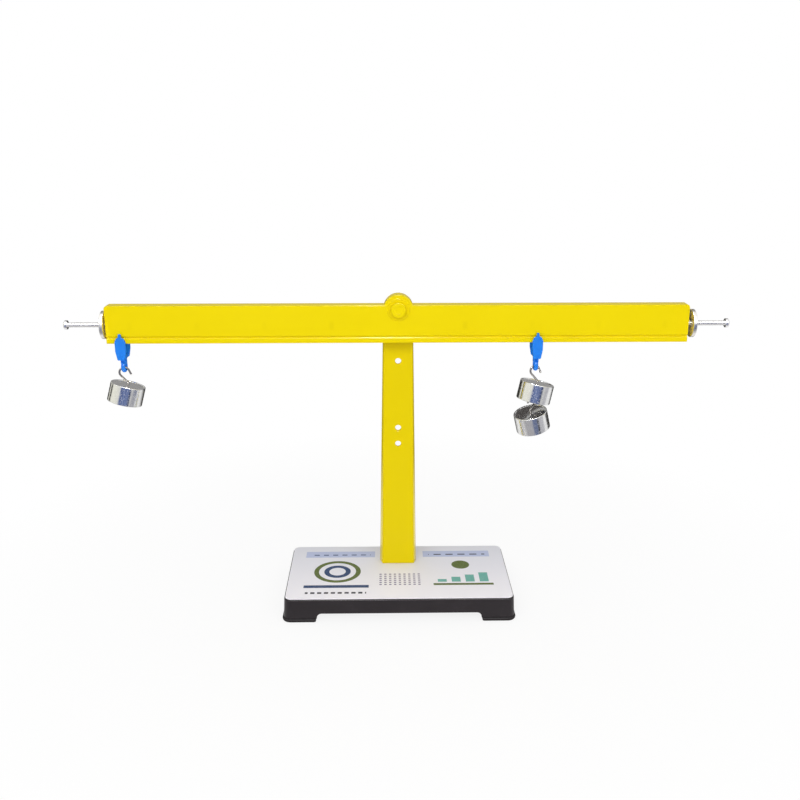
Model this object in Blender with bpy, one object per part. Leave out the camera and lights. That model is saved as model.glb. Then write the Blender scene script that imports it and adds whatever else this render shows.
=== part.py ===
"""Number balance: a lever beam on a post, with trimming screws, two runners and three hooked weights.

Metres, +Z up. +X runs along the beam, -Y is the side that faces the user, and the origin lies on the
table under the middle of the base.
"""

import math

import bmesh
import bpy
from mathutils import Matrix, Vector

# Clearances
GAP = 0.0003

# Base: shell, printed sheet and pads
base_top_width = 0.1938
base_top_depth = 0.1008
base_draft = 0.0009
base_corner = 0.0060
base_edge_round = 0.0006
base_wall = 0.0026
base_roof = 0.0024
base_top_z = 0.0217
label_thickness = 0.0010
label_margin = 0.0008
label_edge = 0.0002
pad_height = 0.0034
pad_length = 0.0277
pad_bulge = 0.0010
pad_wall = 0.0052
pad_toe = 0.0005
foot_length = 0.0274
foot_arch_z = 0.0082
foot_arch_round = 0.0040

# Post: tapered channel, open at the back
post_front_y = 0.0143
post_depth = 0.0077
post_foot_half = 0.0142
post_foot_flare = 0.0022
post_neck_half = 0.0120
post_neck_flare = 0.0010
post_neck_z = 0.2292
post_head_radius = 0.0095
post_front_wall = 0.0026
post_side_wall = 0.0024
post_edge_round = 0.0010
post_foot_block = 0.0118
post_hole_radius = 0.0026
post_hole_heights = (0.2102, 0.1507, 0.1362)

# Screws that hold the post on the base
post_screw_spacing = 0.0170
post_screw_radius = 0.0015
post_screw_head_radius = 0.0034
post_screw_head_height = 0.0022
post_screw_length = 0.0160
base_boss_radius = 0.0050
base_boss_height = 0.0056

# Beam: moulded channel with a rail along its lower edge
beam_length = 0.4800
beam_front_y = 0.0003
beam_depth = 0.0115
beam_bottom_z = 0.2292
beam_height = 0.0315
beam_web = 0.0026
beam_flange = 0.0024
beam_top_round = 0.0006
beam_corner = 0.0025
rail_height = 0.0049
rail_set_back = 0.0003
rail_round = 0.0008
groove_height = 0.0012
groove_depth = 0.0012
end_wall = 0.0030
rib_thickness = 0.0018
rib_pitch = 0.0550
rib_set_back = 0.0025

# Pivot: hub of the beam, axle, nut, washer and cap
pivot_below_top = 0.0035
hub_radius = 0.0122
hub_edge_round = 0.0006
hub_ring_radius = 0.0092
hub_ring_height = 0.0008
axle_radius = 0.0025
axle_nut_flats = 0.0080
axle_nut_height = 0.0038
axle_tip = 0.0008
washer_radius = 0.0060
cap_radius = 0.0063
cap_height = 0.0034
cap_dome = 0.0009
cap_bore_depth = 0.0022

# Balance screws and nuts
screw_axis_z = 0.0147
screw_axis_depth = 0.0070
screw_radius = 0.0020
screw_stand_out = 0.0324
screw_tip = 0.0011
screw_head_radius = 0.0038
screw_head_height = 0.0028
lock_nut_flats = 0.0070
lock_nut_height = 0.0032
disc_radius = 0.0117
disc_thickness = 0.0028
disc_edge = 0.0003
disc_stand_off_left = 0.0010
disc_stand_off_right = 0.0030

# Runners, measured from the lower edge of the beam
hanger_left_from_end = 0.0115
hanger_right_x = 0.1153
plate_thickness = 0.0016
plate_clearance = 0.00045
plate_half_width = 0.0044
plate_foot_half = 0.0030
plate_bottom = 0.0136
plate_shoulder = 0.0048
nib_top = 0.0085
nib_half_width = 0.0010
tooth_height = 0.0006
front_tooth_length = 0.0013
front_tooth_half = 0.0009
rear_tooth_length = 0.0017
rear_tooth_half = 0.0028
bridge_height = 0.0030
bridge_half = 0.0030
stem_half = 0.0022
stem_half_depth = 0.0026
eye_drop = 0.0240
eye_hole_radius = 0.0022
seat_radius = 0.0014
eye_half_width = 0.0018

# Weights
weight_radius = 0.0144
weight_height = 0.0160
weight_edge = 0.0006
dish_radius = 0.0132
dish_depth = 0.0005
recess_radius = 0.0112
recess_depth = 0.0093
bar_inset = 0.0018
bar_socket = 0.0018
bar_turn = -65.0
hook_wire = 0.0009
hook_bury = 0.0036
hook_shank = 0.0012
hook_offset = 0.0052
hook_bowl = 0.0040
hook_rise_angle = 145.0
hook_tip_angle = -52.0
hook_tip_length = 0.0046
hook_bend = 0.0012
weight_mass_drop = 0.0071
lower_contact_shift = -0.0010
left_facing = 20.0
upper_facing = 17.0
lower_twist = -12.0

# Derived places
beam_top_z = beam_bottom_z + beam_height
pivot_z = beam_top_z - pivot_below_top
beam_back_y = beam_front_y + beam_depth
beam_middle_y = beam_front_y + beam_depth / 2
post_back_y = post_front_y + post_depth
shell_top_z = base_top_z - label_thickness - GAP
shell_foot_z = pad_height + GAP
post_foot_z = base_top_z + GAP
post_screw_y = post_front_y + post_depth / 2
screw_y = beam_front_y + screw_axis_depth
screw_z = beam_bottom_z + screw_axis_z
beam_half = beam_length / 2
rib_count = int((beam_half - end_wall - rib_thickness) / rib_pitch)
hanger_left_x = hanger_left_from_end - beam_half
hook_bowl_rise = (
    hook_shank
    + (hook_offset + hook_bowl * math.sin(math.radians(hook_rise_angle))) * math.tan(
        math.radians(180.0 - hook_rise_angle))
    - hook_bowl * math.cos(math.radians(hook_rise_angle))
)
hook_seat_rise = hook_bowl_rise + hook_bowl - hook_wire - GAP - seat_radius
bar_drop = hook_seat_rise + weight_height - bar_inset
mass_drop = hook_seat_rise + weight_mass_drop
lone_tilt = math.atan(hook_offset / mass_drop)
loaded_tilt = math.atan(
    (2 * hook_offset + lower_contact_shift * math.cos(math.radians(bar_turn))) / (mass_drop + bar_drop)
)


def clear_scene():
    """Empties the file of objects."""
    for thing in list(bpy.data.objects):
        bpy.data.objects.remove(thing, do_unlink=True)


def material(name, colour, roughness, metallic=0.0):
    """A Principled material in one colour."""
    made = bpy.data.materials.new(name)
    made.use_nodes = True
    shader = made.node_tree.nodes["Principled BSDF"]
    shader.inputs["Base Color"].default_value = (*colour, 1.0)
    shader.inputs["Roughness"].default_value = roughness
    shader.inputs["Metallic"].default_value = metallic
    return made


def new_object(name, data, finish=None):
    """Links an object with this data, and gives it its finish."""
    thing = bpy.data.objects.new(name, data)
    bpy.context.scene.collection.objects.link(thing)
    if finish is not None:
        data.materials.append(finish)
    return thing


def mesh_of(name, vertices, faces):
    """A mesh with all its faces turned outwards."""
    mesh = bpy.data.meshes.new(name)
    mesh.from_pydata(vertices, [], faces)
    work = bmesh.new()
    work.from_mesh(mesh)
    bmesh.ops.remove_doubles(work, verts=work.verts, dist=1e-7)
    bmesh.ops.recalc_face_normals(work, faces=work.faces)
    work.to_mesh(mesh)
    work.free()
    return mesh


def loft(name, rings, finish=None):
    """A closed solid through rings that all have the same number of points."""
    count = len(rings[0])
    vertices = [point for ring in rings for point in ring]
    faces = []
    for row in range(len(rings) - 1):
        for k in range(count):
            after = (k + 1) % count
            faces.append((row * count + k, row * count + after,
                          (row + 1) * count + after, (row + 1) * count + k))
    faces.append(tuple(range(count)))
    faces.append(tuple((len(rings) - 1) * count + k for k in range(count)))
    return new_object(name, mesh_of(name, vertices, faces), finish)


def closed_loft(name, rings, finish=None):
    """A ring-shaped solid: the last ring joins the first again."""
    count = len(rings[0])
    total = len(rings)
    vertices = [point for ring in rings for point in ring]
    faces = []
    for row in range(total):
        for k in range(count):
            after = (k + 1) % count
            following = (row + 1) % total
            faces.append((row * count + k, row * count + after,
                          following * count + after, following * count + k))
    return new_object(name, mesh_of(name, vertices, faces), finish)


def along(axis, centre, across, up, distance):
    """A point at (across, up) in the plane square to an axis, and this far along the axis."""
    cx, cy, cz = centre
    if axis == "X":
        return (cx + distance, cy + across, cz + up)
    if axis == "Y":
        return (cx + across, cy + distance, cz + up)
    return (cx + across, cy + up, cz + distance)


def turned(name, profile, axis, centre, sides=32, bored=False, finish=None, turn=0.0):
    """Turns a profile of (radius, distance) pairs about an axis, solid or with a bore through it."""
    rings = []
    for k in range(sides):
        angle = 2 * math.pi * k / sides + turn
        rings.append([along(axis, centre, r * math.cos(angle), r * math.sin(angle), d) for r, d in profile])
    if bored:
        return closed_loft(name, rings, finish)
    slices = []
    for place in range(len(profile)):
        slices.append([ring[place] for ring in rings])
    return loft(name, slices, finish)


def chamfered(radius, start, stop, edge):
    """The profile of a plain round bar with both ends chamfered."""
    return [(radius - edge, start), (radius, start + edge), (radius, stop - edge), (radius - edge, stop)]


def block(name, low, high, finish=None):
    """A box between two corners."""
    (x0, y0, z0), (x1, y1, z1) = low, high
    outline = [(x0, y0), (x1, y0), (x1, y1), (x0, y1)]
    return loft(name, [[(x, y, z) for x, y in outline] for z in (z0, z1)], finish)


def arc(cx, cy, radius, start, stop, steps):
    """Points on an arc, its ends included, with the angles in degrees."""
    return [
        (cx + radius * math.cos(math.radians(start + (stop - start) * k / steps)),
         cy + radius * math.sin(math.radians(start + (stop - start) * k / steps)))
        for k in range(steps + 1)
    ]


def rounded_rectangle(half_x, half_y, corner, steps=5):
    """The outline of a rectangle with round corners, anticlockwise."""
    points = []
    for sx, sy, start in ((1, 1, 0), (-1, 1, 90), (-1, -1, 180), (1, -1, 270)):
        points += arc(sx * (half_x - corner), sy * (half_y - corner), corner, start, start + 90, steps)
    return points


def flat(outline, z):
    """Lays an outline in a level plane."""
    return [(x, y, z) for x, y in outline]


def upright(outline, y):
    """Stands an outline of (x, z) pairs in a plane that faces the user."""
    return [(x, y, z) for x, z in outline]


def combine(thing, other, operation):
    """Adds or cuts one solid with another."""
    change = thing.modifiers.new(operation.lower(), "BOOLEAN")
    change.operation = operation
    change.solver = "EXACT"
    change.object = other
    other.hide_render = True
    other.display_type = "WIRE"


def settle(thing, helpers):
    """Applies the modifiers of an object and removes the helpers that they used."""
    bpy.context.view_layer.update()
    evaluated = thing.evaluated_get(bpy.context.evaluated_depsgraph_get())
    mesh = bpy.data.meshes.new_from_object(evaluated)
    work = bmesh.new()
    work.from_mesh(mesh)
    bmesh.ops.remove_doubles(work, verts=work.verts, dist=2e-6)
    bmesh.ops.dissolve_degenerate(work, edges=work.edges, dist=2e-6)
    work.to_mesh(mesh)
    work.free()
    thing.modifiers.clear()
    thing.data = mesh
    for helper in helpers:
        bpy.data.objects.remove(helper, do_unlink=True)


def shaped(thing, joined=(), cuts=()):
    """Unites a solid with others, cuts it, and keeps the result as its own mesh."""
    for other in joined:
        combine(thing, other, "UNION")
    for other in cuts:
        combine(thing, other, "DIFFERENCE")
    settle(thing, list(joined) + list(cuts))
    return thing


def smooth(thing, angle=35.0):
    """Shades a round piece smoothly and keeps its sharp edges."""
    thing.data.shade_smooth()
    thing.data.set_sharp_from_angle(angle=math.radians(angle))


def hang(thing, empty):
    """Puts a piece that was made in place under an unturned empty, with its origin on the empty."""
    bpy.context.view_layer.update()
    shift = empty.matrix_world.translation.copy()
    thing.data.transform(Matrix.Translation(-shift))
    thing.parent = empty


def marker(name, place, parent=None, turn=None):
    """An empty at a place in the world, which may be turned."""
    empty = bpy.data.objects.new(name, None)
    bpy.context.scene.collection.objects.link(empty)
    matrix = Matrix.Translation(Vector(place)) @ (turn.to_4x4() if turn is not None else Matrix.Identity(4))
    if parent is not None:
        bpy.context.view_layer.update()
        empty.parent = parent
        matrix = parent.matrix_world.inverted() @ matrix
    empty.matrix_local = matrix
    bpy.context.view_layer.update()
    return empty


def hexagon(name, flats, height, bore, axis, centre, finish):
    """A plain hexagon nut, bored, that starts at the centre and runs along the axis."""
    corner = flats / 2 / math.cos(math.radians(30))
    nut = turned(name, [(corner, 0.0), (corner, height)], axis, centre, 6, finish=finish)
    hole = turned("cut", [(bore, -height), (bore, 2 * height)], axis, centre, 20)
    return shaped(nut, cuts=[hole])


def base_shell(finish):
    """The moulded shell: a drafted tray, with an arch in each side and two screw bosses inside."""
    def ring(z, inset, corner):
        drop = (base_top_z - z) / base_top_z
        half_x = base_top_width / 2 + base_draft * drop - inset
        half_y = base_top_depth / 2 + base_draft * drop - inset
        return flat(rounded_rectangle(half_x, half_y, corner - inset, 6), z)

    corner = base_corner
    outer = [ring(shell_foot_z, 0.0, corner)]
    for angle in (0, 30, 60, 90):
        rise = base_edge_round * math.sin(math.radians(angle))
        inset = base_edge_round * (1 - math.cos(math.radians(angle)))
        outer.append(ring(shell_top_z - base_edge_round + rise, inset, corner))
    shell = loft("base_shell", outer, finish)
    inside = loft("cut", [ring(shell_foot_z - 0.001, base_wall, corner),
                          ring(shell_top_z - base_roof, base_wall, corner)])
    long_arch = arch_cutter(base_top_width / 2 - foot_length, base_top_depth, "Y")
    short_arch = arch_cutter(base_top_depth / 2 - foot_length, base_top_width, "X")
    shaped(shell, cuts=[inside, long_arch, short_arch])
    bosses = []
    holes = []
    for side in (-1, 1):
        centre = (side * post_screw_spacing / 2, post_screw_y, shell_top_z - base_roof)
        bosses.append(turned("add", [(base_boss_radius, -base_boss_height), (base_boss_radius, 0.0004)],
                             "Z", centre, 24))
        holes.append(turned("cut", [(post_screw_radius + GAP, -0.02), (post_screw_radius + GAP, 0.02)],
                            "Z", centre, 16))
    return shaped(shell, joined=bosses, cuts=holes)


def arch_cutter(half, reach, axis):
    """The bar that cuts the arches in two opposite sides, with round upper corners."""
    low = -0.002
    top = foot_arch_z
    outline = [(-half, low), (half, low)]
    outline += arc(half - foot_arch_round, top - foot_arch_round, foot_arch_round, 0, 90, 4)
    outline += arc(-half + foot_arch_round, top - foot_arch_round, foot_arch_round, 90, 180, 4)
    if axis == "Y":
        return loft("cut", [[(x, y, z) for x, z in outline] for y in (-reach, reach)])
    return loft("cut", [[(x, y, z) for y, z in outline] for x in (-reach, reach)])


def base_label(finish):
    """The printed sheet on the shell, with a hole for each screw of the post."""
    half_x = base_top_width / 2 - label_margin
    half_y = base_top_depth / 2 - label_margin
    corner = base_corner - label_margin
    low = shell_top_z + GAP
    rings = []
    for z, inset in ((low, 0.0), (base_top_z - label_edge, 0.0), (base_top_z, label_edge)):
        rings.append(flat(rounded_rectangle(half_x - inset, half_y - inset, corner - inset, 5), z))
    sheet = loft("base_label", rings, finish)
    holes = []
    for side in (-1, 1):
        centre = (side * post_screw_spacing / 2, post_screw_y, base_top_z)
        holes.append(turned("cut", [(post_screw_radius + GAP, -0.01), (post_screw_radius + GAP, 0.01)],
                            "Z", centre, 16))
    return shaped(sheet, cuts=holes)


def foot_pad(name, side_x, side_y, finish):
    """A rubber pad that follows the corner of the shell: an angle with a round outer corner."""
    foot_x = base_top_width / 2 + base_draft
    foot_y = base_top_depth / 2 + base_draft

    def ring(z, inset):
        out_x = foot_x + pad_bulge - inset
        out_y = foot_y + pad_bulge - inset
        end_x = foot_x - pad_length + inset
        end_y = foot_y - pad_length + inset
        in_x = foot_x - pad_wall + inset
        in_y = foot_y - pad_wall + inset
        corner = base_corner + pad_bulge - inset
        points = [(end_x, out_y), (end_x, in_y), (in_x - 0.002, in_y), (in_x, in_y - 0.002), (in_x, end_y),
                  (out_x, end_y)]
        points += arc(out_x - corner, out_y - corner, corner, 0, 90, 6)
        return [(side_x * x, side_y * y, z) for x, y in points]

    rings = [ring(0.0, pad_toe), ring(pad_toe, 0.0), ring(pad_height - pad_toe, 0.0), ring(pad_height, pad_toe)]
    return loft(name, rings, finish)


def post_outline(foot_half, neck_half, head, bottom):
    """The outline of the post as (x, z) pairs: straight tapering sides and a round head about the pivot."""
    slope = (foot_half - neck_half) / (post_neck_z - post_foot_z)
    start = (foot_half, post_foot_z)
    shoulder_z = pivot_z - 0.016
    shoulder = (foot_half - slope * (shoulder_z - post_foot_z), shoulder_z)
    dx = shoulder[0]
    dz = shoulder_z - pivot_z
    distance = math.hypot(dx, dz)
    tangent = math.degrees(math.atan2(dz, dx) + math.acos(head / distance))
    base_x = start[0] - slope * (bottom - post_foot_z)
    points = [(-base_x, bottom), (base_x, bottom), shoulder]
    points += arc(0.0, pivot_z, head, tangent, 180.0 - tangent, 14)
    points.append((-shoulder[0], shoulder_z))
    return points


def post(finish):
    """The post: a tapered channel whose walls flare backwards, with a solid foot and a round head."""
    def ring(y, inset, bottom):
        share = (y - post_front_y) / post_depth
        foot = post_foot_half + post_foot_flare * share - inset
        neck = post_neck_half + post_neck_flare * share - inset
        return upright(post_outline(foot, neck, post_head_radius - inset, bottom), y)

    rings = []
    for angle in (0, 45, 90):
        y = post_front_y + post_edge_round * (1 - math.cos(math.radians(angle)))
        rings.append(ring(y, post_edge_round * (1 - math.sin(math.radians(angle))), post_foot_z))
    rings.append(ring(post_back_y, 0.0, post_foot_z))
    body = loft("post", rings, finish)
    hollow_floor = post_foot_z + post_foot_block
    hollow = loft("cut", [ring(post_front_y + post_front_wall, post_side_wall, hollow_floor),
                          ring(post_back_y + 0.002, post_side_wall, hollow_floor)])
    cuts = [hollow]
    for height in post_hole_heights:
        centre = (0.0, post_front_y, height)
        cuts.append(turned("cut", [(post_hole_radius, -0.01), (post_hole_radius, 0.01)], "Y", centre, 24))
    centre = (0.0, post_front_y, pivot_z)
    cuts.append(turned("cut", [(axle_radius + GAP, -0.01), (axle_radius + GAP, 0.01)], "Y", centre, 24))
    pilot = post_screw_length - base_boss_height - (post_foot_z - (shell_top_z - base_roof)) + 2 * GAP
    for side in (-1, 1):
        centre = (side * post_screw_spacing / 2, post_screw_y, post_foot_z)
        cuts.append(turned("cut", [(post_screw_radius + GAP, -0.005), (post_screw_radius + GAP, pilot)],
                           "Z", centre, 16))
    return shaped(body, cuts=cuts)


def post_screw(name, side, finish):
    """A screw that comes up through a boss of the shell into the foot of the post."""
    seat_z = shell_top_z - base_roof - base_boss_height - GAP
    centre = (side * post_screw_spacing / 2, post_screw_y, seat_z)
    profile = [(post_screw_head_radius - 0.0006, -post_screw_head_height),
               (post_screw_head_radius, -post_screw_head_height + 0.0008), (post_screw_head_radius, 0.0),
               (post_screw_radius, 0.0), (post_screw_radius, post_screw_length - 0.001),
               (0.0006, post_screw_length)]
    screw = turned(name, profile, "Z", centre, 16, finish=finish)
    smooth(screw)
    return screw


def pivot_parts(steel, plastic):
    """The axle, its nut and washer, and the cap on its front end."""
    centre = (0.0, 0.0, pivot_z)
    front = beam_front_y - hub_ring_height - GAP
    tip = front - cap_bore_depth + GAP
    back = post_back_y - 0.0002
    profile = chamfered(axle_radius, tip, back, axle_tip)
    axle = turned("pivot_axle", profile, "Y", centre, 24, finish=steel)
    nut_centre = (0.0, post_front_y + post_front_wall + GAP, pivot_z)
    nut = hexagon("pivot_nut", axle_nut_flats, axle_nut_height, axle_radius + GAP, "Y", nut_centre, steel)
    start = beam_back_y + GAP
    stop = post_front_y - GAP
    bore = axle_radius + GAP
    ring = [(bore, start), (washer_radius, start), (washer_radius, stop), (bore, stop)]
    washer = turned("pivot_washer", ring, "Y", centre, 28, bored=True, finish=steel)
    face = front - cap_height
    profile = [(bore, front), (cap_radius, front), (cap_radius, face + cap_dome)]
    for angle in (30, 60):
        profile.append((cap_radius - cap_dome * (1 - math.cos(math.radians(angle))),
                        face + cap_dome * (1 - math.sin(math.radians(angle)))))
    profile.append((cap_radius - cap_dome, face))
    outer = [(r, y) for r, y in profile[1:]]
    cap = turned("pivot_cap", outer, "Y", centre, 32, finish=plastic)
    hole = turned("cut", [(bore, front - cap_bore_depth), (bore, front + 0.002)], "Y", centre, 24)
    shaped(cap, cuts=[hole])
    for piece in (axle, washer, cap):
        smooth(piece)
    return axle, nut, washer, cap


def beam_section():
    """The outline of the beam across its length, as (y, z) pairs: web, top flange, grooved rail."""
    y0 = beam_front_y
    y1 = beam_back_y
    z0 = beam_bottom_z
    rail_front = y0 + rail_set_back
    rail_top = z0 + rail_height
    web_foot = rail_top + groove_height
    inner = y0 + beam_web
    points = arc(rail_front + rail_round, z0 + rail_round, rail_round, 270, 180, 3)
    points += arc(rail_front + rail_round, rail_top - rail_round, rail_round, 180, 90, 3)
    points += [(y0 + groove_depth, rail_top), (y0 + groove_depth, web_foot)]
    points += [(y0 + rail_round / 2, web_foot), (y0, web_foot + rail_round / 2)]
    points += arc(y0 + beam_top_round, beam_top_z - beam_top_round, beam_top_round, 180, 90, 3)
    points += [(y1, beam_top_z), (y1, beam_top_z - beam_flange), (inner, beam_top_z - beam_flange)]
    points += [(inner, rail_top), (y1 - rail_round, rail_top), (y1, rail_top - rail_round)]
    points += [(y1, z0 + rail_round), (y1 - rail_round, z0)]
    return points


def beam(finish):
    """The beam: the channel, with ribs, end walls, a hub about the pivot, and holes for its screws."""
    section = beam_section()
    body = loft("beam", [[(x, y, z) for y, z in section] for x in (-beam_half, beam_half)], finish)
    floor = beam_bottom_z + rail_height - 0.0004
    roof = beam_top_z - beam_flange + 0.0004
    web = beam_front_y + beam_web - 0.0004
    added = []
    for side in (-1, 1):
        ends = sorted((side * beam_half, side * (beam_half - end_wall)))
        added.append(block("add", (ends[0], web, floor), (ends[1], beam_back_y, roof)))
        for k in range(1, rib_count + 1):
            x = side * rib_pitch * k
            added.append(block("add", (x - rib_thickness / 2, web, floor),
                               (x + rib_thickness / 2, beam_back_y - rib_set_back, roof)))
    centre = (0.0, 0.0, pivot_z)
    hub = chamfered(hub_radius, beam_front_y, beam_back_y, hub_edge_round)
    added.append(turned("add", hub, "Y", centre, 40))
    ring = [(hub_ring_radius - 0.0003, beam_front_y - hub_ring_height),
            (hub_ring_radius, beam_front_y - hub_ring_height + 0.0003), (hub_ring_radius, beam_front_y + 0.001)]
    added.append(turned("add", ring, "Y", centre, 36))
    bore = axle_radius + GAP
    cuts = [turned("cut", [(bore, -0.02), (bore, 0.03)], "Y", centre, 24)]
    for side in (-1, 1):
        bore = screw_radius + GAP
        cuts.append(turned("cut", [(bore, -0.006), (bore, 0.006)], "X", (side * beam_half, screw_y, screw_z), 20))
        cuts.append(corner_cutter(side))
    return shaped(body, joined=added, cuts=cuts)


def corner_cutter(side):
    """Rounds an upper corner of the beam, seen from the front."""
    cx = beam_half - beam_corner
    cz = beam_top_z - beam_corner
    far = beam_half + 0.002
    high = beam_top_z + 0.002
    points = [(far, cz), (far, high), (cx, high)]
    points += arc(cx, cz, beam_corner, 90, 0, 5)
    outline = [(side * x, z) for x, z in points]
    return loft("cut", [upright(outline, beam_front_y - 0.005), upright(outline, beam_back_y + 0.005)])


def balance_screw(name, side, finish):
    """A pan-headed screw that lies along the beam and ends inside it."""
    seat = beam_half + screw_stand_out
    end = beam_half - end_wall - GAP - lock_nut_height - screw_tip
    profile = [(0.0010, end), (screw_radius, end + 0.0010), (screw_radius, seat), (screw_head_radius, seat),
               (screw_head_radius, seat + screw_head_height - 0.0012),
               (screw_head_radius - 0.0004, seat + screw_head_height - 0.0004),
               (screw_head_radius - 0.0013, seat + screw_head_height)]
    screw = turned(name, [(r, side * x) for r, x in profile], "X", (0.0, screw_y, screw_z), 20, finish=finish)
    smooth(screw)
    return screw


def lock_nut(name, side, finish):
    """The hexagon nut that fixes a balance screw inside the end wall."""
    start = beam_half - end_wall - GAP
    centre = (side * start - (lock_nut_height if side > 0 else 0.0), screw_y, screw_z)
    return hexagon(name, lock_nut_flats, lock_nut_height, screw_radius + GAP, "X", centre, finish)


def balance_nut(name, side, stand_off, finish):
    """The disc nut that runs along a balance screw, this far from the end of the beam."""
    bore = screw_radius + GAP
    inner = beam_half + stand_off
    outer = inner + disc_thickness
    profile = [(bore, inner), (disc_radius - disc_edge, inner), (disc_radius, inner + disc_edge),
               (disc_radius, outer - disc_edge), (disc_radius - disc_edge, outer), (bore, outer)]
    nut = turned(name, [(r, side * x) for r, x in profile], "X", (0.0, screw_y, screw_z), 40, bored=True,
                 finish=finish)
    smooth(nut)
    return nut


def plate_outline(top, nib):
    """The shield outline of a runner's plate as (x, z) pairs from the lower edge of the beam."""
    right = [(plate_foot_half - 0.0010, -plate_bottom), (plate_foot_half, -plate_bottom + 0.0010),
             (plate_half_width - 0.0004, -plate_bottom * 0.55), (plate_half_width, -plate_bottom * 0.22),
             (plate_half_width, plate_shoulder * 0.30), (plate_half_width - 0.0005, plate_shoulder * 0.75),
             (plate_half_width - 0.0016, plate_shoulder)]
    if nib:
        right += [(nib_half_width + 0.0004, plate_shoulder + 0.0006), (nib_half_width, plate_shoulder + 0.0012),
                  (nib_half_width, top - 0.0008), (nib_half_width * 0.45, top)]
    else:
        right += [(rear_tooth_half, top - 0.0006), (rear_tooth_half - 0.0006, top)]
    left = [(-x, z) for x, z in reversed(right)]
    return right + left


def hanger_mesh():
    """The runner: two plates that straddle the rail, teeth above it, a bridge, and a stem with an eye.

    Its own origin is the middle of the beam's lower edge.
    """
    inner = beam_depth / 2 + plate_clearance
    outer = inner + plate_thickness
    front = loft("hanger", [upright(plate_outline(nib_top, True), y) for y in (-outer, -inner)])
    tooth_low = rail_height + GAP
    rear_top = tooth_low + 0.0012
    rear = loft("add", [upright(plate_outline(rear_top, False), y) for y in (inner, outer)])
    front_tooth = block("add", (-front_tooth_half, -inner - 0.0008, tooth_low),
                        (front_tooth_half, -inner + front_tooth_length, tooth_low + tooth_height))
    rear_tooth = block("add", (-rear_tooth_half + 0.0006, inner - rear_tooth_length, tooth_low),
                       (rear_tooth_half - 0.0006, inner + 0.0008, tooth_low + tooth_height))
    bridge = block("add", (-bridge_half + 0.0003, -inner - 0.0008, -plate_bottom + 0.0002),
                   (bridge_half - 0.0003, inner + 0.0008, -plate_bottom + bridge_height))
    ring_z = -eye_drop + seat_radius + eye_hole_radius
    ring_radius = eye_hole_radius + seat_radius
    stem = block("add", (-stem_half, -stem_half_depth, ring_z + eye_hole_radius + 0.0004),
                 (stem_half, stem_half_depth, -plate_bottom + 0.0012))
    rings = []
    for k in range(24):
        angle = 2 * math.pi * (k + 0.5) / 24
        ring = []
        for j in range(10):
            turn = 2 * math.pi * j / 10
            reach = ring_radius + seat_radius * math.cos(turn)
            ring.append((eye_half_width * math.sin(turn), reach * math.cos(angle), ring_z + reach * math.sin(angle)))
        rings.append(ring)
    eye = closed_loft("add", rings)
    shaped(front, joined=[rear, front_tooth, rear_tooth, bridge, stem, eye])
    smooth(front)
    mesh = front.data
    bpy.data.objects.remove(front, do_unlink=True)
    return mesh


def weight_body_mesh():
    """The body of a weight, a turned drum with a shallow dish on top and a deep recess below.

    Its own origin is the point that the weight swings about, and its axis is upright.
    """
    centre = (hook_offset, 0.0, -hook_seat_rise)
    low = -weight_height
    roof = low + recess_depth
    profile = [(0.0, -dish_depth), (dish_radius - 0.0004, -dish_depth), (dish_radius, 0.0),
               (weight_radius - weight_edge, 0.0), (weight_radius, -weight_edge),
               (weight_radius, low + weight_edge), (weight_radius - weight_edge, low),
               (recess_radius + 0.0004, low), (recess_radius, low + 0.0004), (recess_radius, roof), (0.0, roof)]
    body = turned("weight", profile, "Z", centre, 40)
    shank = turned("cut", [(hook_wire + GAP, -hook_bury - GAP), (hook_wire + GAP, 0.002)], "Z", centre, 16)
    reach = recess_radius + bar_socket + GAP
    bar_hole = crossbar("cut", seat_radius + GAP, reach)
    shaped(body, cuts=[shank, bar_hole])
    smooth(body)
    mesh = body.data
    bpy.data.objects.remove(body, do_unlink=True)
    return mesh


def crossbar(name, radius, reach):
    """A round bar across the recess, turned from the plane of the hook."""
    bar = turned(name, [(radius, -reach), (radius, reach)], "X", (0.0, 0.0, 0.0), 16)
    bar.data.transform(Matrix.Translation((hook_offset, 0.0, -bar_drop))
                       @ Matrix.Rotation(math.radians(bar_turn), 4, "Z"))
    return bar


def crossbar_mesh():
    """The crossbar that the next weight hangs on."""
    bar = crossbar("bar", seat_radius, recess_radius + bar_socket - GAP)
    smooth(bar)
    mesh = bar.data
    bpy.data.objects.remove(bar, do_unlink=True)
    return mesh


def hook_points():
    """The route of the hook's wire in its plane: shank, bend, slanting run, bowl and straight tip."""
    rise = math.radians(hook_rise_angle)
    turn = math.degrees(rise) - 90.0
    setback = hook_bend * math.tan(math.radians(turn) / 2)
    points = [(0.0, -hook_bury), (0.0, 0.0)]
    points += arc(-hook_bend, hook_shank - setback, hook_bend, 0, turn, 4)
    bowl = (-hook_offset, hook_bowl_rise)
    points += arc(*bowl, hook_bowl, hook_rise_angle + 90.0, hook_tip_angle + 90.0, 20)
    end = points[-1]
    tip = math.radians(hook_tip_angle)
    for share in (0.5, 1.0):
        points.append((end[0] + hook_tip_length * share * math.cos(tip),
                       end[1] + hook_tip_length * share * math.sin(tip)))
    return points


def hook_curve(finish):
    """The wire hook as a tube with closed ends, in the frame of the weight."""
    curve = bpy.data.curves.new("hook", "CURVE")
    curve.dimensions = "3D"
    curve.bevel_depth = hook_wire
    curve.bevel_resolution = 2
    curve.use_fill_caps = True
    points = hook_points()
    line = curve.splines.new("POLY")
    line.points.add(len(points) - 1)
    for place, (x, z) in zip(line.points, points):
        place.co = (hook_offset + x, 0.0, z - hook_seat_rise, 1.0)
    curve.materials.append(finish)
    return curve


def leaning(facing, tilt):
    """The turn of a weight that leans by this tilt, in radians, towards this compass angle, in degrees."""
    return Matrix.Rotation(math.radians(facing), 3, "Z") @ Matrix.Rotation(tilt, 3, "Y")


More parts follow.
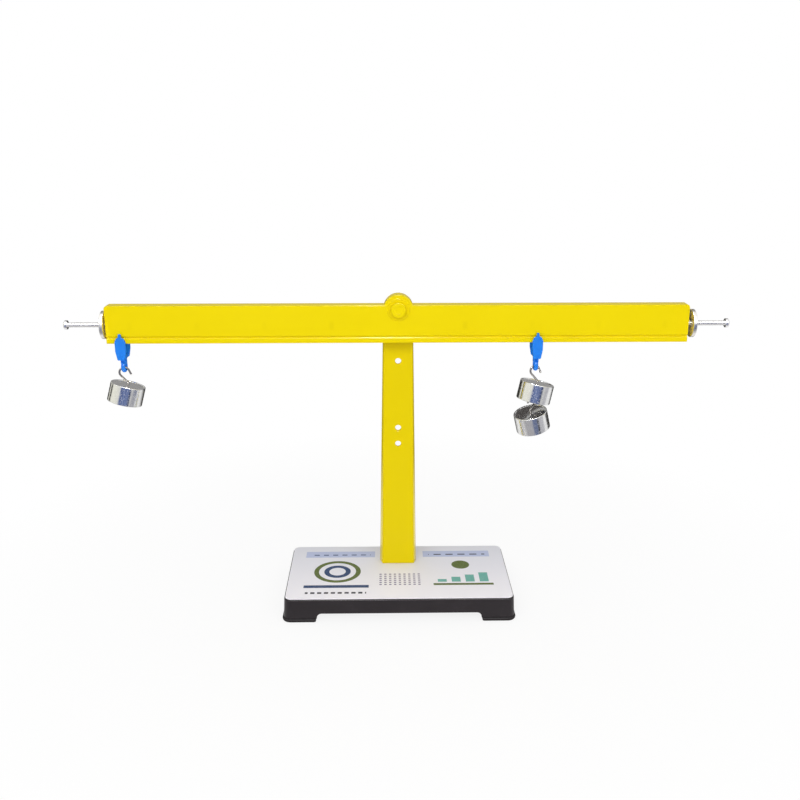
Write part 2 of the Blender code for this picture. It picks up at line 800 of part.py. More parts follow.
def weight(name, place, parent, turn, shapes):
    """One weight: body, hook and crossbar under an empty on the line that it swings about."""
    swing = marker(name + "_swing", place, parent, turn)
    for part, data in shapes.items():
        new_object(name + "_" + part, data).parent = swing
    return swing


def build():
    """Makes the whole balance."""
    clear_scene()
    dark = material("base_plastic", (0.022, 0.017, 0.018), 0.45)
    paper = material("label_print", (0.68, 0.68, 0.70), 0.35)
    rubber = material("pad_rubber", (0.012, 0.010, 0.010), 0.75)
    yellow = material("yellow_plastic", (0.87, 0.68, 0.0), 0.25)
    blue = material("blue_plastic", (0.03, 0.25, 0.90), 0.35)
    nickel = material("nickel_plate", (0.75, 0.75, 0.76), 0.12, 1.0)
    steel = material("zinc_steel", (0.55, 0.55, 0.56), 0.3, 1.0)

    base_shell(dark)
    base_label(paper)
    for row, side_y in (("front", -1), ("rear", 1)):
        for column, side_x in (("left", -1), ("right", 1)):
            foot_pad("foot_pad_" + row + "_" + column, side_x, side_y, rubber)
    post(yellow)
    for word, side in (("left", -1), ("right", 1)):
        post_screw("post_screw_" + word, side, steel)
    pivot_parts(steel, yellow)

    pivot = marker("beam_pivot", (0.0, 0.0, pivot_z))
    hang(beam(yellow), pivot)
    for word, side, stand_off in (("left", -1, disc_stand_off_left), ("right", 1, disc_stand_off_right)):
        hang(balance_screw("balance_screw_" + word, side, nickel), pivot)
        hang(lock_nut("lock_nut_" + word, side, steel), pivot)
        axis = marker("balance_nut_axis_" + word, (side * (beam_half + stand_off), screw_y, screw_z), pivot)
        hang(balance_nut("balance_nut_" + word, side, stand_off, nickel), axis)

    runner = hanger_mesh()
    runner.materials.append(blue)
    seats = {}
    for word, x in (("left", hanger_left_x), ("right", hanger_right_x)):
        seats[word] = marker("hanger_seat_" + word, (x, beam_middle_y, beam_bottom_z), pivot)
        new_object("hanger_" + word, runner).parent = seats[word]

    body = weight_body_mesh()
    bar = crossbar_mesh()
    for mesh in (body, bar):
        mesh.materials.append(nickel)
    shapes = {"body": body, "hook": hook_curve(nickel), "bar": bar}
    eye_z = beam_bottom_z - eye_drop
    left = leaning(left_facing, lone_tilt)
    weight("weight_left", (hanger_left_x, beam_middle_y, eye_z), seats["left"], left, shapes)
    loaded = leaning(upper_facing, loaded_tilt)
    upper = weight("weight_upper", (hanger_right_x, beam_middle_y, eye_z), seats["right"], loaded, shapes)
    turn = math.radians(bar_turn)
    along_bar = Vector((math.cos(turn), math.sin(turn), 0.0)) * lower_contact_shift
    contact = upper.matrix_world @ (Vector((hook_offset, 0.0, -bar_drop)) + along_bar)
    lower = leaning(upper_facing + bar_turn - 90.0 + lower_twist, lone_tilt)
    weight("weight_lower", contact, upper, lower, shapes)
    bpy.context.view_layer.update()


build()
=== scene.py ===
"""Number balance, dressed: a yellow beam on a post, with balance screws, two runners and three weights.

Every piece is a surface worked out on a grid of points, in metres, in the frame of the solids: +X runs along
the beam, -Y faces the user and +Z is up. Each piece rides on the body of the solid that it stands for.
"""

import math

import bmesh
import bpy
import numpy as np
from mathutils import Matrix, Vector


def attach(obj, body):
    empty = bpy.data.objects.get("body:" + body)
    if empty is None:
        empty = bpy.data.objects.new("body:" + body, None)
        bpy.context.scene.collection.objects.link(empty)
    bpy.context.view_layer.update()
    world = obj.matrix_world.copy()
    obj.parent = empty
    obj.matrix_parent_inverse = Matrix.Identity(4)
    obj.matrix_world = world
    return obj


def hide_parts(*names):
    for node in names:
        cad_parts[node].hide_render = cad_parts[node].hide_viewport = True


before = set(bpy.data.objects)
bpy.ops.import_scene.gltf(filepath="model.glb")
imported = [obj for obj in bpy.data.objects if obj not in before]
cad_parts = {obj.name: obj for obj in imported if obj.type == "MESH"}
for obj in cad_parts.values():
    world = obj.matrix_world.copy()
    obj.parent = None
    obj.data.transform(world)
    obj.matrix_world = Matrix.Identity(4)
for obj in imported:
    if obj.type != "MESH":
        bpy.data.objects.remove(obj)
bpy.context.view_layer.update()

# Clearances, and how far a cutter reaches past what it cuts
GAP = 0.0003
through = 0.0200
drill_reach = 0.0050
overrun = 0.0020
lip_overrun = 0.0030
cross_overrun = 0.0010
axle_drill_end = 0.0300

# Shading
sharp_angle = 32.0

# Base
base_top_width = 0.1938
base_top_depth = 0.1008
base_draft = 0.0009
base_corner = 0.0060
base_edge_round = 0.0006
base_wall = 0.0026
base_roof = 0.0024
base_roof_chamfer = 0.0008
base_top_z = 0.0217
label_thickness = 0.0010
label_margin = 0.0008
label_edge = 0.0002
pad_height = 0.0034
pad_length = 0.0277
pad_bulge = 0.0010
pad_wall = 0.0052
pad_toe = 0.0024
pad_shoulder = 0.0009
pad_end_round = 0.0008
pad_inner_round = 0.0020
foot_length = 0.0274
foot_arch_z = 0.0082
foot_arch_round = 0.0040

# Post
post_front_y = 0.0143
post_depth = 0.0077
post_foot_half = 0.0142
post_foot_flare = 0.0022
post_neck_half = 0.0120
post_neck_flare = 0.0010
post_neck_z = 0.2292
post_shoulder_drop = 0.0160
post_head_radius = 0.0095
post_front_wall = 0.0026
post_side_wall = 0.0024
post_edge_round = 0.0010
post_back_chamfer = 0.0003
post_hollow_chamfer = 0.0008
post_foot_block = 0.0118
post_hole_radius = 0.0026
post_hole_lip = 0.0004
axle_hole_lip = 0.0002
lip_start_angle = 14.0
post_hole_heights = (0.2102, 0.1507, 0.1362)
post_screw_spacing = 0.0170
post_screw_radius = 0.0015
post_screw_head_radius = 0.0034
post_screw_head_height = 0.0022
post_screw_length = 0.0160
post_screw_pitch = 0.0011
post_screw_thread_depth = 0.0004
post_thread_from_tip = 0.0005
post_thread_from_head = 0.0006
post_screw_cross = 0.0016
post_screw_cross_depth = 0.0009
base_boss_radius = 0.0050
base_boss_height = 0.0056
base_boss_root = 0.0004
base_boss_round = 0.0004

# Beam
beam_length = 0.4800
beam_front_y = 0.0003
beam_depth = 0.0115
beam_bottom_z = 0.2292
beam_height = 0.0315
beam_web = 0.0026
beam_flange = 0.0024
beam_corner = 0.0025
beam_end_round = 0.0005
beam_crown = 0.0060
beam_back_edge = 0.0005
beam_front_edge = 0.0006
rail_height = 0.0049
rail_set_back = 0.0003
rail_round = 0.0008
rail_bead = 0.0015
groove_height = 0.0012
groove_depth = 0.0012
groove_edge = 0.0004
groove_root = 0.0002
end_wall = 0.0030
rib_thickness = 0.0018
rib_pitch = 0.0550
rib_set_back = 0.0025
middle_rib_half = 0.0005
cell_corner = 0.0008
cell_floor_round = 0.0006
cell_floor_step = 0.0002

# Pivot
pivot_below_top = 0.0035
hub_radius = 0.0122
hub_ring_radius = 0.0092
hub_ring_height = 0.0008
hub_sink = 0.00003
hub_back_round = 0.0006
hub_front_round = 0.0007
hub_foot_round = 0.0002
hub_ring_round = 0.0004
axle_radius = 0.0025
axle_nut_flats = 0.0080
axle_nut_height = 0.0038
washer_radius = 0.0060
cap_radius = 0.0063
cap_height = 0.0034
cap_dome = 0.0009
cap_bore_depth = 0.0022
cap_dish = 0.0002
nut_chamfer = 0.0005
nut_bearing_step = 0.0002
nut_cone_slope = 1.8

# Balance screws and nuts
screw_axis_z = 0.0147
screw_axis_depth = 0.0070
screw_radius = 0.0020
screw_pitch = 0.0007
screw_thread_depth = 0.0004
screw_stand_out = 0.0324
screw_tip = 0.0011
screw_thread_from_tip = 0.0007
screw_thread_from_head = 0.0002
screw_head_radius = 0.0038
screw_head_height = 0.0028
screw_head_round = 0.0012
screw_cross = 0.0020
screw_cross_depth = 0.0011
cross_slot_half = 0.00035
cross_slot_corner = 0.0001
lock_nut_flats = 0.0070
lock_nut_height = 0.0032
disc_radius = 0.0117
disc_thickness = 0.0028
disc_edge = 0.0003
disc_step_foot = 0.0044
disc_step_rim = 0.0046
disc_step_depth = 0.0003
disc_stand_off_left = 0.0010
disc_stand_off_right = 0.0030

# Runners
hanger_left_from_end = 0.0115
hanger_right_x = 0.1153
plate_thickness = 0.0016
plate_clearance = 0.00045
plate_half_width = 0.0044
plate_foot_half = 0.0030
plate_bottom = 0.0136
plate_shoulder = 0.0048
nib_top = 0.0085
nib_half_width = 0.0010
tooth_height = 0.0006
front_tooth_length = 0.0013
front_tooth_half = 0.0009
rear_tooth_length = 0.0017
rear_tooth_half = 0.0028
bridge_height = 0.0030
bridge_half = 0.0030
rod_root = 0.0008
plate_edge = 0.0004
stem_half = 0.0022
stem_half_depth = 0.0026
eye_drop = 0.0240
eye_hole_radius = 0.0022
seat_radius = 0.0014
eye_half_width = 0.0018

# Weights
weight_radius = 0.0144
weight_height = 0.0160
weight_edge = 0.0006
dish_radius = 0.0132
dish_depth = 0.0005
dish_slope = 0.0004
recess_radius = 0.0112
recess_depth = 0.0093
bar_inset = 0.0018
bar_socket = 0.0018
bar_turn = -65.0
hook_wire = 0.0009
wire_slack = 0.00006
hook_bury = 0.0036
hook_shank = 0.0012
hook_offset = 0.0052
hook_bowl = 0.0040
hook_rise_angle = 145.0
hook_tip_angle = -52.0
hook_tip_length = 0.0046
hook_bend = 0.0012
weight_mass_drop = 0.0071
lower_contact_shift = -0.0010
left_facing = 20.0
upper_facing = 17.0
lower_twist = -12.0

# Stage and camera, with the picture's width and the focal length in pixels and the angles in degrees
floor_half = 1.0000
floor_near_y = -0.3400
floor_far_y = 0.5000
soft_light = 0.66
picture_pixels = 800.0
focal_pixels = 935.0
film_width = 36.0
camera_place = (-0.0128, -0.7533, 0.4058)
camera_heading = -1.075
camera_pitch = 16.671
camera_roll = -0.043

# Derived places
beam_top_z = beam_bottom_z + beam_height
pivot_z = beam_top_z - pivot_below_top
beam_back_y = beam_front_y + beam_depth
beam_middle_y = beam_front_y + beam_depth / 2
post_back_y = post_front_y + post_depth
shell_top_z = base_top_z - label_thickness - GAP
shell_foot_z = pad_height + GAP
post_foot_z = base_top_z + GAP
post_screw_y = post_front_y + post_depth / 2
screw_y = beam_front_y + screw_axis_depth
screw_z = beam_bottom_z + screw_axis_z
beam_half = beam_length / 2
rib_count = int((beam_half - end_wall - rib_thickness) / rib_pitch)
hanger_left_x = hanger_left_from_end - beam_half
hook_bowl_rise = (
    hook_shank
    + (hook_offset + hook_bowl * math.sin(math.radians(hook_rise_angle))) * math.tan(
        math.radians(180.0 - hook_rise_angle))
    - hook_bowl * math.cos(math.radians(hook_rise_angle))
)
hook_seat_rise = hook_bowl_rise + hook_bowl - hook_wire - GAP - seat_radius
bar_drop = hook_seat_rise + weight_height - bar_inset
mass_drop = hook_seat_rise + weight_mass_drop
lone_tilt = math.atan(hook_offset / mass_drop)
loaded_tilt = math.atan(
    (2 * hook_offset + lower_contact_shift * math.cos(math.radians(bar_turn))) / (mass_drop + bar_drop)
)


# Outlines, as arrays of points in a plane

def unit(vectors):
    """Each vector divided by its own length."""
    return vectors / np.linalg.norm(vectors, axis=-1, keepdims=True)


def rounded(corners, radii, steps=6, closed=True):
    """A polygon or an open line whose corners give way to arcs.

    An arc of radius r in a corner of half-angle h starts r / tan(h) from the corner, and its centre lies
    r / sin(h) from the corner along the bisector.
    """
    corners = np.asarray(corners, float)
    radii = np.broadcast_to(np.asarray(radii, float), len(corners)).copy()
    if not closed:
        radii[[0, -1]] = 0.0
    share = np.linspace(0.0, 1.0, steps + 1)[:, None]
    pieces = []
    for before, corner, after, radius in zip(np.roll(corners, 1, 0), corners, np.roll(corners, -1, 0), radii):
        if radius == 0.0:
            pieces.append(corner[None])
            continue
        back, ahead = unit(before - corner), unit(after - corner)
        half = math.acos(np.clip(back @ ahead, -1.0, 1.0)) / 2
        centre = corner + unit(back + ahead) * radius / math.sin(half)
        start = corner + back * radius / math.tan(half) - centre
        stop = corner + ahead * radius / math.tan(half) - centre
        sweep = math.pi - 2 * half
        arc = (np.sin((1 - share) * sweep) * start + np.sin(share * sweep) * stop) / math.sin(sweep)
        pieces.append(centre + arc)
    return np.concatenate(pieces)


def rectangle(half_x, half_y, corner, steps=8):
    """An anticlockwise rectangle about the origin with round corners."""
    corners = [(-half_x, -half_y), (half_x, -half_y), (half_x, half_y), (-half_x, half_y)]
    return rounded(corners, corner, steps)


def arc_points(centre, radius, start, stop, steps):
    """Points centre + radius (cos a, sin a), with a in degrees from start to stop."""
    angle = np.radians(np.linspace(start, stop, steps + 1))
    return np.asarray(centre) + radius * np.stack([np.cos(angle), np.sin(angle)], -1)


def inset(outline, distance):
    """An anticlockwise outline moved inwards: each point goes along the bisector of its two sides' normals,
    by the distance over the cosine of the half turn between them."""
    ahead = unit(np.roll(outline, -1, 0) - outline)
    left = np.stack([-ahead[:, 1], ahead[:, 0]], -1)
    normal = unit(left + np.roll(left, 1, 0))
    return outline + normal * (distance / np.sum(normal * left, -1))[:, None]


def round_ends(low, high, radius, steps=4):
    """Heights and insets of the rows of a slab whose two rims are quarter circles of this radius."""
    angle = np.linspace(0.0, math.pi / 2, steps + 1)
    rise = radius * (1 - np.cos(angle))
    pull = radius * (1 - np.sin(angle))
    return np.concatenate([low + rise, high - rise[::-1]]), np.concatenate([pull, pull[::-1]])


def laid(first, second, along, axis):
    """Points that have two coordinates across an axis and one along it."""
    columns = {"X": (along, first, second), "Y": (first, along, second), "Z": (first, second, along)}[axis]
    return np.stack(columns, -1)


def stood(outline, height, axis):
    """Lays an outline in the plane square to an axis, at this height along it."""
    return laid(outline[:, 0], outline[:, 1], np.full(len(outline), height), axis)


# Surfaces, as meshes

def surface(points, ring=False):
    """Joins a grid of points into quads. Each row closes on itself. A ring's last row joins its first, and
    otherwise the first and last rows are filled. The UV map runs from 0 to 1 along a row, and in metres
    along the first column."""
    rows, columns, _ = points.shape
    row, column = np.meshgrid(np.arange(rows if ring else rows - 1), np.arange(columns), indexing="ij")
    next_row, next_column = (row + 1) % rows, (column + 1) % columns
    quads = np.stack([row * columns + column, row * columns + next_column,
                      next_row * columns + next_column, next_row * columns + column], -1).reshape(-1, 4)
    steps = np.linalg.norm(np.diff(points[:, 0], axis=0, append=points[:1, 0]), axis=-1)
    lengths = np.concatenate([[0.0], np.cumsum(steps)])
    across = np.stack([column, column + 1, column + 1, column], -1) / columns
    upward = lengths[np.stack([row, row, row + 1, row + 1], -1)]
    corner_uv = np.stack([across, upward], -1).reshape(-1, 2)
    faces = quads.tolist()
    if not ring:
        faces.append(list(range(columns)))
        faces.append(list(range((rows - 1) * columns, rows * columns)))
        corner_uv = np.concatenate([corner_uv, np.zeros((2 * columns, 2))])
    mesh = bpy.data.meshes.new("surface")
    mesh.from_pydata(points.reshape(-1, 3).tolist(), [], faces)
    mesh.uv_layers.new(name="UVMap").data.foreach_set("uv", corner_uv.ravel())
    return closed_up(mesh)


def closed_up(mesh):
    """Merges the seams and poles of a mesh and turns its faces outwards."""
    work = bmesh.new()
    work.from_mesh(mesh)
    bmesh.ops.remove_doubles(work, verts=work.verts, dist=1e-7)
    bmesh.ops.dissolve_degenerate(work, edges=work.edges, dist=1e-7)
    bmesh.ops.recalc_face_normals(work, faces=work.faces)
    work.to_mesh(mesh)
    work.free()
    return mesh


def slab(outline, low, high, radius=0.0, axis="Z", steps=4):
    """A plate of this outline between two heights, with round rims."""
    if radius > 0.0:
        heights, insets = round_ends(low, high, radius, steps)
    else:
        heights, insets = (low, high), (0.0, 0.0)
    return surface(np.stack([stood(inset(outline, d), h, axis) for h, d in zip(heights, insets)]))


def turned(profile, axis, centre, sides=72, bored=False):
    """A profile of (radius r, distance d) turned about an axis: the point at angle a is the centre
    + r (cos a, sin a) across the axis + d along it."""
    angle = np.arange(sides) * (2 * math.pi / sides)
    radius, distance = profile[:, 0][:, None], profile[:, 1][:, None]
    first, second = radius * np.cos(angle), radius * np.sin(angle)
    along = np.broadcast_to(distance, first.shape)
    return surface(laid(first, second, along, axis) + np.asarray(centre), ring=bored)


def drill(radius, start, stop, axis, centre, sides):
    """The cutter of a plain round hole between two distances along an axis."""
    profile = np.array([(0.0, start), (radius, start), (radius, stop), (0.0, stop)])
    return turned(profile, axis, centre, sides)


def tube(path, radius):
    """A round wire along a path in the XZ plane: path + r (n cos a + y sin a), n being the normal of the path
    in its plane. Both ends are half domes, whose rows shrink as cos b and move on as r sin b."""
    sides, dome_steps = 24, 5
    tangent = unit(np.gradient(path, axis=0))
    tilt = np.linspace(math.pi / 2, 0.0, dome_steps + 1)[:-1]
    start = path[0] - tangent[0] * (radius * np.sin(tilt))[:, None]
    stop = path[-1] + tangent[-1] * (radius * np.sin(tilt[::-1]))[:, None]
    centres = np.concatenate([start, path, stop])
    tangents = np.concatenate([np.repeat(tangent[:1], dome_steps, 0), tangent,
                               np.repeat(tangent[-1:], dome_steps, 0)])
    reach = radius * np.concatenate([np.cos(tilt), np.ones(len(path)), np.cos(tilt[::-1])])[:, None]
    angle = np.arange(sides) * (2 * math.pi / sides)
    sideways = reach * np.cos(angle)
    x = centres[:, :1] - tangents[:, 1:] * sideways
    z = centres[:, 1:] + tangents[:, :1] * sideways
    y = np.broadcast_to(reach * np.sin(angle), x.shape)
    return surface(np.stack([x, y, z], -1))


def hexagon_nut(flats, height, bore, axis, centre):
    """A bored hexagon nut: its radius at angle a is flats / 2 over the cosine of the angle to the nearest
    flat, and no more than a cone that starts just outside the flats on both faces."""
    sides = 72
    angle = np.arange(sides) * (2 * math.pi / sides)
    away = (angle + math.pi / 6) % (math.pi / 3) - math.pi / 6
    hexagon = flats / 2 / np.cos(away)
    rows = [(bore, 0.0, False), (flats / 2 - nut_bearing_step, 0.0, False), (None, 0.0, True),
            (None, nut_chamfer * 0.35, True), (None, nut_chamfer, True)]
    rows += [(r, height - d, cone) for r, d, cone in reversed(rows)]
    radii = []
    for radius, distance, cone in rows:
        from_face = min(distance, height - distance)
        limit = flats / 2 + from_face * nut_cone_slope
        radii.append(np.minimum(hexagon, limit) if cone else np.full(sides, radius))
    radii = np.array(radii)
    distances = np.broadcast_to(np.array([row[1] for row in rows])[:, None], radii.shape)
    points = laid(radii * np.cos(angle), radii * np.sin(angle), distances, axis)
    return surface(points + np.asarray(centre), ring=True)


def joined(meshes):
    """Several meshes as the separate shells of one."""
    work = bmesh.new()
    for mesh in meshes:
        work.from_mesh(mesh)
        bpy.data.meshes.remove(mesh)
    whole = bpy.data.meshes.new("joined")
    work.to_mesh(whole)
    work.free()
    return whole


def worked(mesh, operation, others):
    """One solid united with others, or cut by them, in turn."""
    target = bpy.data.objects.new("target", mesh)
    bpy.context.scene.collection.objects.link(target)
    helpers = []
    for other in others:
        helper = bpy.data.objects.new("helper", other)
        bpy.context.scene.collection.objects.link(helper)
        change = target.modifiers.new("work", "BOOLEAN")
        change.operation = operation
        change.solver = "EXACT"
        change.object = helper
        helpers.append(helper)
    bpy.context.view_layer.update()
    result = bpy.data.meshes.new_from_object(target.evaluated_get(bpy.context.evaluated_depsgraph_get()))
    for thing in [target] + helpers:
        bpy.data.objects.remove(thing, do_unlink=True)
    work = bmesh.new()
    work.from_mesh(result)
    bmesh.ops.remove_doubles(work, verts=work.verts, dist=1e-6)
    bmesh.ops.dissolve_degenerate(work, edges=work.edges, dist=1e-6)
    work.to_mesh(result)
    work.free()
    return result


def piece(name, mesh, finish, body, node, weighted=False):
    """Makes a mesh a piece of the balance that stands for its solid and rides on the solid's body."""
    mesh.name = name
    mesh.materials.clear()
    mesh.materials.append(finish)
    mesh.shade_smooth()
    mesh.set_sharp_from_angle(angle=math.radians(sharp_angle))
    thing = bpy.data.objects.new(name, mesh)
    bpy.context.scene.collection.objects.link(thing)
    if weighted:
        even = thing.modifiers.new("even_shading", "WEIGHTED_NORMAL")
        even.keep_sharp = True
    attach(thing, body)
    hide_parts(node)


# Finishes

class Finish:
    """One material, with short ways to add nodes to it."""

    def __init__(self, name):
        self.material = bpy.data.materials.new(name)
        self.material.use_nodes = True
        self.tree = self.material.node_tree
        self.shader = self.tree.nodes["Principled BSDF"]
        self.place = self.node("ShaderNodeTexCoord").outputs["Object"]

    def node(self, kind, **settings):
        """Adds a node and sets its properties."""
        made = self.tree.nodes.new(kind)
        for name, value in settings.items():
            setattr(made, name, value)
        return made

    def feed(self, socket, value):
        """Links a socket to another, or sets its own value."""
        if isinstance(value, bpy.types.NodeSocket):
            self.tree.links.new(value, socket)
        else:
            socket.default_value = value

    def plain(self, **values):
        """Sets the shader's own sockets."""
        for name, value in values.items():
            self.shader.inputs[name.replace("_", " ")].default_value = value

    def split(self, vector):
        """The three parts of a vector."""
        made = self.node("ShaderNodeSeparateXYZ")
        self.feed(made.inputs[0], vector)
        return made.outputs

    def math(self, operation, first, second=0.0):
        """One step of arithmetic."""
        made = self.node("ShaderNodeMath", operation=operation)
        for socket, value in zip(made.inputs, (first, second)):
            self.feed(socket, value)
        return made.outputs[0]

    def both(self, first, second):
        """Two shares at once: their product."""
        return self.math("MULTIPLY", first, second)

    def difference(self, first, second):
        """How far apart two values are."""
        return self.math("ABSOLUTE", self.math("SUBTRACT", first, second))

    def spread(self, value, low, high, start=0.0, stop=1.0):
        """Carries a value from low..high to start..stop, held at both ends."""
        made = self.node("ShaderNodeMapRange")
        for socket, number in zip(made.inputs, (value, low, high, start, stop)):
            self.feed(socket, number)
        return made.outputs[0]

    def fade(self, value, low, high):
        """1 up to a value, and down to 0 at the next."""
        return self.spread(value, low, high, 1.0, 0.0)

    def between(self, value, low, high, soft):
        """1 between two values, with a soft edge at both."""
        rise = self.spread(value, low - soft, low + soft)
        return self.both(rise, self.fade(value, high - soft, high + soft))

    def blend(self, share, first, second):
        """A colour between two others."""
        made = self.node("ShaderNodeMix", data_type="RGBA")
        self.feed(made.inputs["Factor"], share)
        self.feed(made.inputs["A"], first if isinstance(first, bpy.types.NodeSocket) else (*first, 1.0))
        self.feed(made.inputs["B"], second if isinstance(second, bpy.types.NodeSocket) else (*second, 1.0))
        return made.outputs["Result"]

    def noise(self, scale, detail=2.0, roughness=0.5, stretch=None, where=None):
        """Cloudy noise from 0 to 1 over the object, or over stretched coordinates."""
        where = self.place if where is None else where
        if stretch is not None:
            mapping = self.node("ShaderNodeMapping")
            self.feed(mapping.inputs["Vector"], where)
            mapping.inputs["Scale"].default_value = stretch
            where = mapping.outputs["Vector"]
        made = self.node("ShaderNodeTexNoise")
        self.feed(made.inputs["Vector"], where)
        made.inputs["Scale"].default_value = scale
        made.inputs["Detail"].default_value = detail
        made.inputs["Roughness"].default_value = roughness
        return made.outputs[0]

    def bump(self, height, distance, under=None):
        """A bump from a height of 0 to 1 that is this many metres deep, over another bump if one is given."""
        made = self.node("ShaderNodeBump")
        made.inputs["Strength"].default_value = 1.0
        made.inputs["Distance"].default_value = distance
        self.feed(made.inputs["Height"], height)
        if under is not None:
            self.feed(made.inputs["Normal"], under)
        return made.outputs["Normal"]

    def into(self, **links):
        """Links results into the shader's sockets."""
        for name, value in links.items():
            self.feed(self.shader.inputs[name.replace("_", " ")], value)
        return self.material

    def seen(self, rays):
        """1 for the camera, for reflections and through glass."""
        straight = self.math("MAXIMUM", rays.outputs["Is Camera Ray"], rays.outputs["Is Glossy Ray"])
        return self.math("MAXIMUM", straight, rays.outputs["Is Transmission Ray"])


def srgb(red, green, blue):
    """The linear colour of an 8-bit screen colour."""
    value = np.array([red, green, blue]) / 255.0
    linear = np.where(value <= 0.04045, value / 12.92, ((value + 0.055) / 1.055) ** 2.4)
    return tuple(float(v) for v in linear)


def yellow_plastic(name, pale, deep):
    """Glossy moulded plastic: slow waviness, a fine skin, small sink marks over the ribs with painted shade
    in them, and light scuffs.
    """
    finish = Finish(name)
    finish.plain(IOR=1.5, Specular_IOR_Level=0.14)
    cloud = finish.noise(14.0, 3.0, 0.55)
    x, _, z = finish.split(finish.place)
    half_pitch = rib_pitch / 2
    folded = finish.math("PINGPONG", finish.math("ADD", x, half_pitch), half_pitch)
    from_rib = finish.math("SUBTRACT", half_pitch, folded)
    from_axis = finish.difference(z, screw_z)
    from_post = finish.math("ABSOLUTE", x)
    sunk = finish.both(finish.fade(from_rib, 0.0008, 0.0030), finish.fade(from_axis, 0.0016, 0.0046))
    sunk = finish.both(sunk, finish.spread(from_post, 0.02, 0.03))
    sunk = finish.both(sunk, finish.spread(from_post, 0.07, 0.10, 1.0, 0.4))
    colour = finish.blend(cloud, deep, pale)
    # Painted shade: the sink marks are blended towards a deeper yellow, as if their dents were shadowed.
    colour = finish.blend(finish.both(sunk, 0.14), colour, srgb(196, 168, 0))
    scuff = finish.spread(finish.noise(60.0, 6.0, 0.7, stretch=(1.0, 1.0, 5.0)), 0.56, 0.72)
    gloss = finish.math("ADD", finish.spread(cloud, 0.2, 0.8, 0.14, 0.20), finish.both(scuff, 0.08))
    skin = finish.bump(finish.noise(35.0, 1.0, 0.4), 0.00004)
    grain = finish.bump(finish.noise(420.0, 2.0, 0.5), 0.000003, skin)
    dents = finish.bump(finish.math("SUBTRACT", 1.0, sunk), 0.00005, grain)
    return finish.into(Base_Color=colour, Roughness=gloss, Normal=dents)


def dark_plastic():
    """Satin moulded plastic of the shell: a fine spark-eroded grain with paler rubbed patches."""
    finish = Finish("dark_moulded_plastic")
    finish.plain(IOR=1.5, Specular_IOR_Level=0.3)
    grain = finish.noise(1500.0, 2.0, 0.6)
    cloud = finish.noise(30.0, 4.0, 0.6)
    rub = finish.spread(finish.noise(90.0, 5.0, 0.7), 0.5, 0.75)
    colour = finish.blend(cloud, srgb(33, 28, 31), srgb(44, 38, 41))
    colour = finish.blend(finish.both(rub, 0.25), colour, srgb(60, 53, 57))
    gloss = finish.spread(cloud, 0.2, 0.8, 0.36, 0.50)
    return finish.into(Base_Color=colour, Roughness=gloss, Normal=finish.bump(grain, 0.00003))


def pad_rubber():
    """Matt black rubber with a powdery cast."""
    finish = Finish("pad_rubber")
    finish.plain(IOR=1.45, Specular_IOR_Level=0.3)
    cloud = finish.noise(120.0, 4.0, 0.65)
    colour = finish.blend(cloud, srgb(26, 22, 24), srgb(38, 33, 36))
    return finish.into(Base_Color=colour, Roughness=finish.spread(cloud, 0.2, 0.8, 0.62, 0.78),
                       Normal=finish.bump(finish.noise(900.0, 3.0, 0.6), 0.00004))


def blue_plastic():
    """Satin blue plastic of the runners, with soft flow marks."""
    finish = Finish("blue_moulded_plastic")
    finish.plain(IOR=1.48, Specular_IOR_Level=0.3, Subsurface_Weight=0.06, Subsurface_Scale=0.002)
    flow = finish.noise(160.0, 3.0, 0.6, stretch=(1.0, 1.0, 0.35))
    colour = finish.blend(flow, srgb(18, 120, 232), srgb(38, 142, 248))
    gloss = finish.spread(flow, 0.2, 0.8, 0.28, 0.42)
    grain = finish.bump(finish.noise(700.0, 2.0, 0.5), 0.00001)
    return finish.into(Base_Color=colour, Roughness=gloss, Normal=grain)


def turned_metal(name, pale, dull, gloss, line_depth, mottle, specks=0.0, hollow=None):
    """Plated steel: turning lines that run round the piece, haze, fine scratches and small matt specks. Past
    the distance hollow along its profile, inside the recess, its colour is darkened to a mottled grey:
    painted shade."""
    finish = Finish(name)
    finish.plain(Metallic=1.0)
    chart = finish.node("ShaderNodeUVMap").outputs["UV"]
    rings = finish.noise(1.0, 3.0, 0.7, stretch=(3.0, 9000.0, 1.0), where=chart)
    haze = finish.noise(260.0, 5.0, 0.65)
    colour = finish.blend(finish.spread(haze, 0.3, 0.75, 0.0, mottle), pale, dull)
    roughness = finish.spread(haze, 0.3, 0.8, gloss, gloss * 2.2)
    if hollow is not None:
        # Painted shade: inside the recess the colour goes to a darker mottled grey.
        along = finish.split(chart)[1]
        recess_shade = finish.blend(finish.spread(haze, 0.35, 0.65), (0.30, 0.29, 0.28), (0.62, 0.61, 0.60))
        colour = finish.blend(finish.spread(along, hollow, hollow + 0.0008), colour, recess_shade)
    if specks:
        matt = finish.spread(finish.noise(1000.0, 3.0, 0.6), 0.50, 0.64, 0.0, specks)
        roughness = finish.math("ADD", roughness, matt)
    scratched = finish.bump(finish.noise(700.0, 6.0, 0.75, stretch=(1.0, 6.0, 1.0)), 0.000003)
    grooved = finish.bump(rings, line_depth, scratched)
    return finish.into(Base_Color=colour, Roughness=roughness, Normal=grooved)


